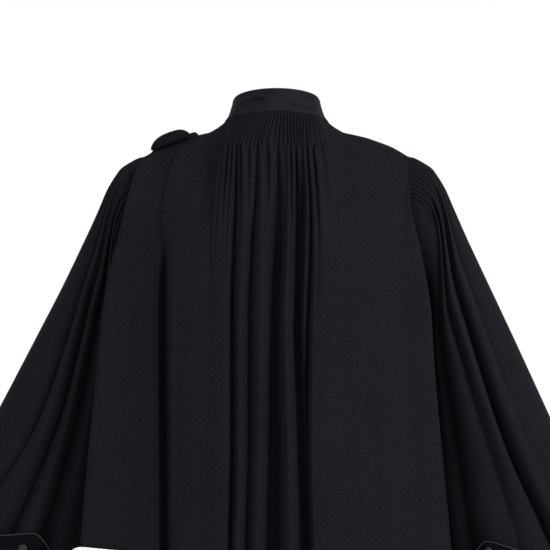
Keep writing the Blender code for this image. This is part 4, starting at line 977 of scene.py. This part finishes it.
# shoulder sash
sash = {
    # drop, then inner edge, middle and outer edge as x, y, z
    "back": [
        (16, 150, 6.2, -20.5, 168, 6.2, -27, 186, 6.2, -35),
        (22, 151, 11.4, -23.1, 170.5, 11.4, -30.1, 190, 11.4, -39.4),
        (28, 151, 16.7, -26.6, 173, 16.7, -34.5, 195, 16.7, -45.7),
        (34, 152, 22, -31.9, 176, 22, -40.5, 200, 22, -53.3),
        (56, 160, 31.5, -45, 189.5, 31.4, -56, 215, 41.9, -66.7),
        (84, 172, 48.4, -74.6, 198, 47.2, -84, 224, 56.8, -93.4),
        (124, 180, 69.4, -119.1, 206.5, 72.1, -124, 233, 78, -128.9),
        (180, 184, 91.6, -180, 214.5, 84.9, -180, 245, 90.4, -180),
        (250, 185, 110.6, -250.4, 223.5, 100.5, -250, 262, 105.4, -249.6),
        (350, 185, 122.9, -350.9, 229, 109.7, -350, 273, 115.7, -349.1),
        (470, 185, 135.1, -472.7, 235, 125.2, -470, 285, 130.1, -467.3),
        (560, 185, 144.1, -564.7, 239, 130.5, -560, 293, 134.8, -555.3),
        (659, 185, 154.2, -664.8, 243, 144.4, -659, 301, 148.1, -653.2),
    ],
    "front": [
        (16, 150, 5.8, -20.4, 168, 5.8, -26.9, 186, 5.8, -35),
        (21, 149, -1.3, -19.3, 168.5, -1.3, -26.2, 188, -1.3, -35.2),
        (25, 149, -7.1, -20.4, 169.5, -7.1, -27.7, 190, -7.1, -37.3),
        (30, 148, -14.3, -23.8, 170, -14.3, -31.4, 192, -14.3, -41.9),
        (34, 148, -20, -28.5, 171, -20, -36.4, 194, -20, -47.6),
        (56, 146, -33.3, -44.7, 173, -34.6, -56, 200, -34.3, -67.3),
        (90, 143, -54.5, -79.7, 173.5, -53, -90, 204, -54.8, -100.3),
        (140, 140, -83.4, -136, 173.5, -76.5, -140, 207, -74, -144),
        (210, 137, -114.1, -210.2, 173.5, -102.9, -210, 210, -85.2, -209.8),
        (310, 134, -135.7, -310.6, 174, -125.8, -310, 214, -107.7, -309.4),
        (420, 132, -149.8, -421.6, 175, -139.5, -420, 218, -118.2, -418.4),
    ],
    "wall": 2.0,
    "grid": (24, 120),
}


def acrossTail(inner, middle, outer, t):
    # the bow through three points of a row
    return inner * (1 - t) * (1 - 2 * t) + 4 * middle * t * (1 - t) + outer * t * (2 * t - 1)


def sashPlace(table, front):
    drops = col(table, 0)

    def place(u, v):
        drop = np.interp(v, np.linspace(0, 1, len(drops)), drops)
        p = [curve(drops, col(table, 1 + k), drop) for k in range(9)]
        return [acrossTail(p[k], p[3 + k], p[6 + k], u if front else 1 - u) for k in range(3)]
    return place


tails = (("back", False), ("front", True))
for word, front in tails:
    bm = clothGrid(*sash["grid"], sashPlace(sash[word], front))
    finishPiece("sash" + word.title() + "Tail", bm, sashWool, ["sash_" + word + "_tail"], sash["wall"])

pad = {
    "grid": (352, 44), "middle": (161.5, 8.0), "radii": (29.0, 16.0), "lift": 5.2, "roll": 5.8,
    "dome": 4.5, "arch": 6.0, "gathers": 44, "gatherRise": 0.8, "lean": 0.35,
    # v to 0.15 is the flat underside, to 0.6 the gathered roll, to 1 the gathers that run in to the middle
    "under": 0.15, "rollEnd": 0.6,
}


def padPlace(u, v):
    turn = 2 * pi * u
    under, rollEnd = pad["under"], pad["rollEnd"]
    around = pi * (np.clip((v - under) / 0.45, 0, 1) * 1.25 - 0.5)
    inner = 1 - pad["roll"] / pad["radii"][1]
    reach = np.where(v < under, inner * v / under, inner + (1 - inner) * np.cos(around))
    rise = pad["roll"] * (1 + np.sin(around))
    t = np.clip((v - rollEnd) / 0.4, 0, 1)
    endReach = inner + (1 - inner) * math.cos(0.75 * pi)
    endRise = pad["roll"] * (1 + math.sin(0.75 * pi))
    reach = np.where(v > rollEnd, endReach * (1 - t), reach)
    rise = np.where(v > rollEnd, endRise + pad["dome"] * np.sin(t * pi / 2) ** 2 * 0.6, rise)
    rise = np.where(v < under, 0.0, rise)
    ribs = ease((v - 0.12) / 0.1) * (1 - ease((v - 0.86) / 0.12))
    rib = tube(pad["gathers"] * u + 0.12 * np.sin(5 * turn), 0.75) * pad["gatherRise"] * ribs
    push = 1 + rib * np.cos(around) * (v <= rollEnd) / pad["radii"][1]
    x = pad["middle"][0] + pad["radii"][0] * reach * push * np.cos(turn)
    y = pad["middle"][1] + pad["radii"][1] * reach * push * np.sin(turn)
    outY = 0.03 * y
    n = np.sqrt(pad["lean"] ** 2 + outY ** 2 + 1)
    lift = (pad["lift"] + rise + rib * np.where(v > rollEnd, 1.0, np.maximum(np.sin(around), 0))) / n
    arch = pad["arch"] * ((x - pad["middle"][0]) / pad["radii"][0]) ** 2
    return x + pad["lean"] * lift, y + outY * lift, ridge(x) - 0.6 * seamDrop(y) - arch + lift


bm = clothGrid(*pad["grid"], padPlace, closed=True, flip=True)
sashPad = finishPiece("sashPad", bm, sashWool, ["sash_pad"])

tab = {"start": (140.0, 9.0, -19.5), "tip": (121.5, 9.0, -15.0), "width": 10.5, "point": 0.28, "wall": 1.2}


def tabPlace(u, v):
    # a loop of cloth pressed flat, pointed at its free end
    x, y, z = [a + (b - a) * v for a, b in zip(tab["start"], tab["tip"])]
    half = tab["width"] / 2 * np.minimum(1, 0.08 + (1 - v) / tab["point"]) * (1 - 0.06 * np.sin(pi * v))
    w = 2 * u - 1
    puff = 0.6 * (1 - w ** 2) + 1.2 * np.sin(pi * v)
    return x, y + half * w, z + puff - 0.8 * half * w


finishPiece("sashTab", clothGrid(24, 48, tabPlace, flip=True), sashWool, ["sash_tab"], tab["wall"])
print("sash made")

# fur
furLook = {
    "grid": (36, 72), "height": 98.0, "half": 4.4, "overhang": 0.09, "lift": 1.0, "unevenness": 0.7,
    "strands": 5200, "length": (7.0, 11.0), "thick": 0.34, "lean": 0.8, "droop": 2.0, "spread": 0.22,
}


def furBand(name, node, table, front, seed):
    inner, middle, outer = [np.array(table[-1][k:k + 3]) for k in (1, 4, 7)]
    sign = -1 if front else 1
    rng = np.random.default_rng(seed)

    def surface(around, along):
        a = -furLook["overhang"] + (1 + 2 * furLook["overhang"]) * along
        line = [acrossTail(inner[k], middle[k], outer[k], np.clip(a, 0, 1)) for k in range(3)]
        c, d = np.cos(2 * pi * around), np.sin(2 * pi * around)
        end = np.clip(1 - np.abs(2 * along - 1) ** 12, 0, 1) ** 0.5
        y = line[1] - sign + furLook["half"] * np.sign(c) * np.abs(c) ** 0.55 * end
        y = y + furLook["unevenness"] * slowWaves(a * 110, d * 50, seed, 12) * end
        down = furLook["height"] / 2 * (1 - np.sign(d) * np.abs(d) ** 0.5 * (0.9 + 0.1 * end))
        return inner[0] + (outer[0] - inner[0]) * a, y, line[2] + furLook["lift"] - down

    bm = clothGrid(*furLook["grid"], surface, closed=True)
    count = furLook["strands"]
    around, along = rng.uniform(0, 1, count), rng.uniform(0, 1, count)
    root = np.stack(surface(around, along), 1)
    turn = 2 * pi * around
    out = np.stack([1.6 * (2 * along - 1) ** 9, np.cos(turn), 0.5 * np.sin(turn)], 1)
    way = out * 0.5 + (0, 0, -furLook["lean"]) + rng.normal(0, furLook["spread"], (count, 3))
    way = way / np.linalg.norm(way, axis=1)[:, None]
    length = rng.uniform(*furLook["length"], count)[:, None]
    side = np.cross(way, rng.normal(0, 1, (count, 3)))
    side = side / np.linalg.norm(side, axis=1)[:, None]
    other = np.cross(way, side)
    # a strand is a three-sided spike of seven points
    points = []
    for share, thick in ((0.0, 1.0), (0.5, 0.8)):
        centre = root + way * length * share + np.array((0, 0, -furLook["droop"] / 2)) * share ** 2 * 2
        for k in range(3):
            angle = 2 * pi * k / 3
            points.append(centre + furLook["thick"] * thick * (math.cos(angle) * side + math.sin(angle) * other))
    points.append(root + way * length + np.array((0, 0, -furLook["droop"])))
    points = np.stack(points, 1).reshape(-1, 3) * mm
    one = [(0, 1, 4, 3), (1, 2, 5, 4), (2, 0, 3, 5), (3, 4, 6), (4, 5, 6), (5, 3, 6), (2, 1, 0)]
    strands = bpy.data.meshes.new(name + "Strands")
    faces = [tuple(7 * i + k for k in face) for i in range(count) for face in one]
    strands.from_pydata(points.tolist(), [], faces)
    bm.from_mesh(strands)
    bpy.data.meshes.remove(strands)
    bmesh.ops.recalc_face_normals(bm, faces=bm.faces)
    finishPiece(name, bm, fur, [node])


for (word, front), seed in zip(tails, (5, 6)):
    furBand("furBand" + word.title(), "fur_band_" + word, sash[word], front, seed)
print("fur made")

# hems and stitches
hemLook = {
    "radius": 1.1, "stitch": 5.0, "inset": 0.07, "down": (0.03, 0.995, 160),
    "placketAcross": (("Left", 0.9), ("Right", 0.1)), "placketDown": (0.005, 0.995, 220),
    "collarHeights": (("Lower", 0.14), ("Upper", 0.90)), "collarRound": (0.01, 0.99, 200),
    "collarStitch": 3.6, "collarStitchSize": (1.1, 0.35, 0.35),
}
down = np.linspace(*hemLook["down"])
for word, front in tails:
    place = sashPlace(sash[word], front)
    for edge, across in (("Inner", 0.0), ("Outer", 1.0)):
        name = word.title() + edge
        u = np.full(down.shape, across if front else 1 - across)
        # the hem cords' lighter wool is a painted highlight
        finishPiece("sashHem" + name, cordMesh(np.stack(place(u, down), 1), hemLook["radius"]), hemWoolPaintedHighlight)
        row = np.stack(place(np.abs(u - hemLook["inset"]), down), 1) + (0, -0.3 if front else 0.3, 0)
        sewLine("sashStitches" + name, row, hemLook["stitch"])
down = np.linspace(*hemLook["placketDown"])
for word, across in hemLook["placketAcross"]:
    row = np.stack(placketPlace(np.full(down.shape, across), down), 1) + (0, -0.2, 0)
    sewLine("placketStitches" + word, row, hemLook["stitch"])
turn = np.linspace(*hemLook["collarRound"])
for word, height in hemLook["collarHeights"]:
    row = np.stack(collarPlace(turn, np.full(turn.shape, 1 - height)), 1)
    row[:, :2] *= 1 + 0.3 / 75  # just outside the collar
    sewLine("collarStitches" + word, row, hemLook["collarStitch"], hemLook["collarStitchSize"])
print("hems and stitches made")

# names of the hems, stitches and fur band that go with each sash tail
tailParts = {}
for w in ("Back", "Front"):
    tailParts[w] = [start + w + end for start in ("sashHem", "sashStitches") for end in ("Inner", "Outer")]
    tailParts[w].append("furBand" + w)

# camera, light and floor
view = {"distance": 12.0, "pixel": 0.00155, "pixels": 550, "sensor": 36, "centre": (0.0023, 0.06, -0.234)}
scene = bpy.context.scene
camera = bpy.data.objects.new("camera", bpy.data.cameras.new("camera"))
scene.collection.objects.link(camera)
camera.location = Vector(view["centre"]) + Vector((0, view["distance"], 0))
camera.rotation_euler = (math.radians(90), 0, math.radians(180))
camera.data.sensor_width = view["sensor"]
camera.data.lens = view["sensor"] * view["distance"] / (view["pixels"] * view["pixel"])
camera.data.clip_end = 50
scene.camera = camera
scene.view_settings.view_transform = "Standard"

world = bpy.data.worlds.new("studio")
world.use_nodes = True
world.node_tree.nodes["Background"].inputs["Color"].default_value = (1.0, 1.0, 1.0, 1)
world.node_tree.nodes["Background"].inputs["Strength"].default_value = 1.0
scene.world = world


def softLight(name, place, aim, size, power):
    light = bpy.data.lights.new(name, "AREA")
    light.size = size
    light.energy = power
    lamp = bpy.data.objects.new(name, light)
    lamp.location = place
    lamp.rotation_euler = (Vector(aim) - Vector(place)).to_track_quat("-Z", "Y").to_euler()
    scene.collection.objects.link(lamp)


softLight("keyLight", (-2.8, 3.0, 1.8), (0, 0, -0.4), 1.8, 190)
softLight("collarLight", (3.0, 1.6, 2.2), (0, 0, 0.02), 0.6, 26)

floor = {"half": 12, "z": -1.45}
floorPaint = makePlain("floorPaint", (0.80, 0.80, 0.79), (0.84, 0.84, 0.83), 0.7, 6, 0.0001)
bm = bmesh.new()
bmesh.ops.create_grid(bm, x_segments=1, y_segments=1, size=floor["half"])
for vert in bm.verts:
    vert.co.z = floor["z"]
mesh = bpy.data.meshes.new("studioFloor")
bm.to_mesh(mesh)
bm.free()
mesh.materials.append(floorPaint)
studioFloor = bpy.data.objects.new("studioFloor", mesh)
scene.collection.objects.link(studioFloor)
print("camera, light and floor made")
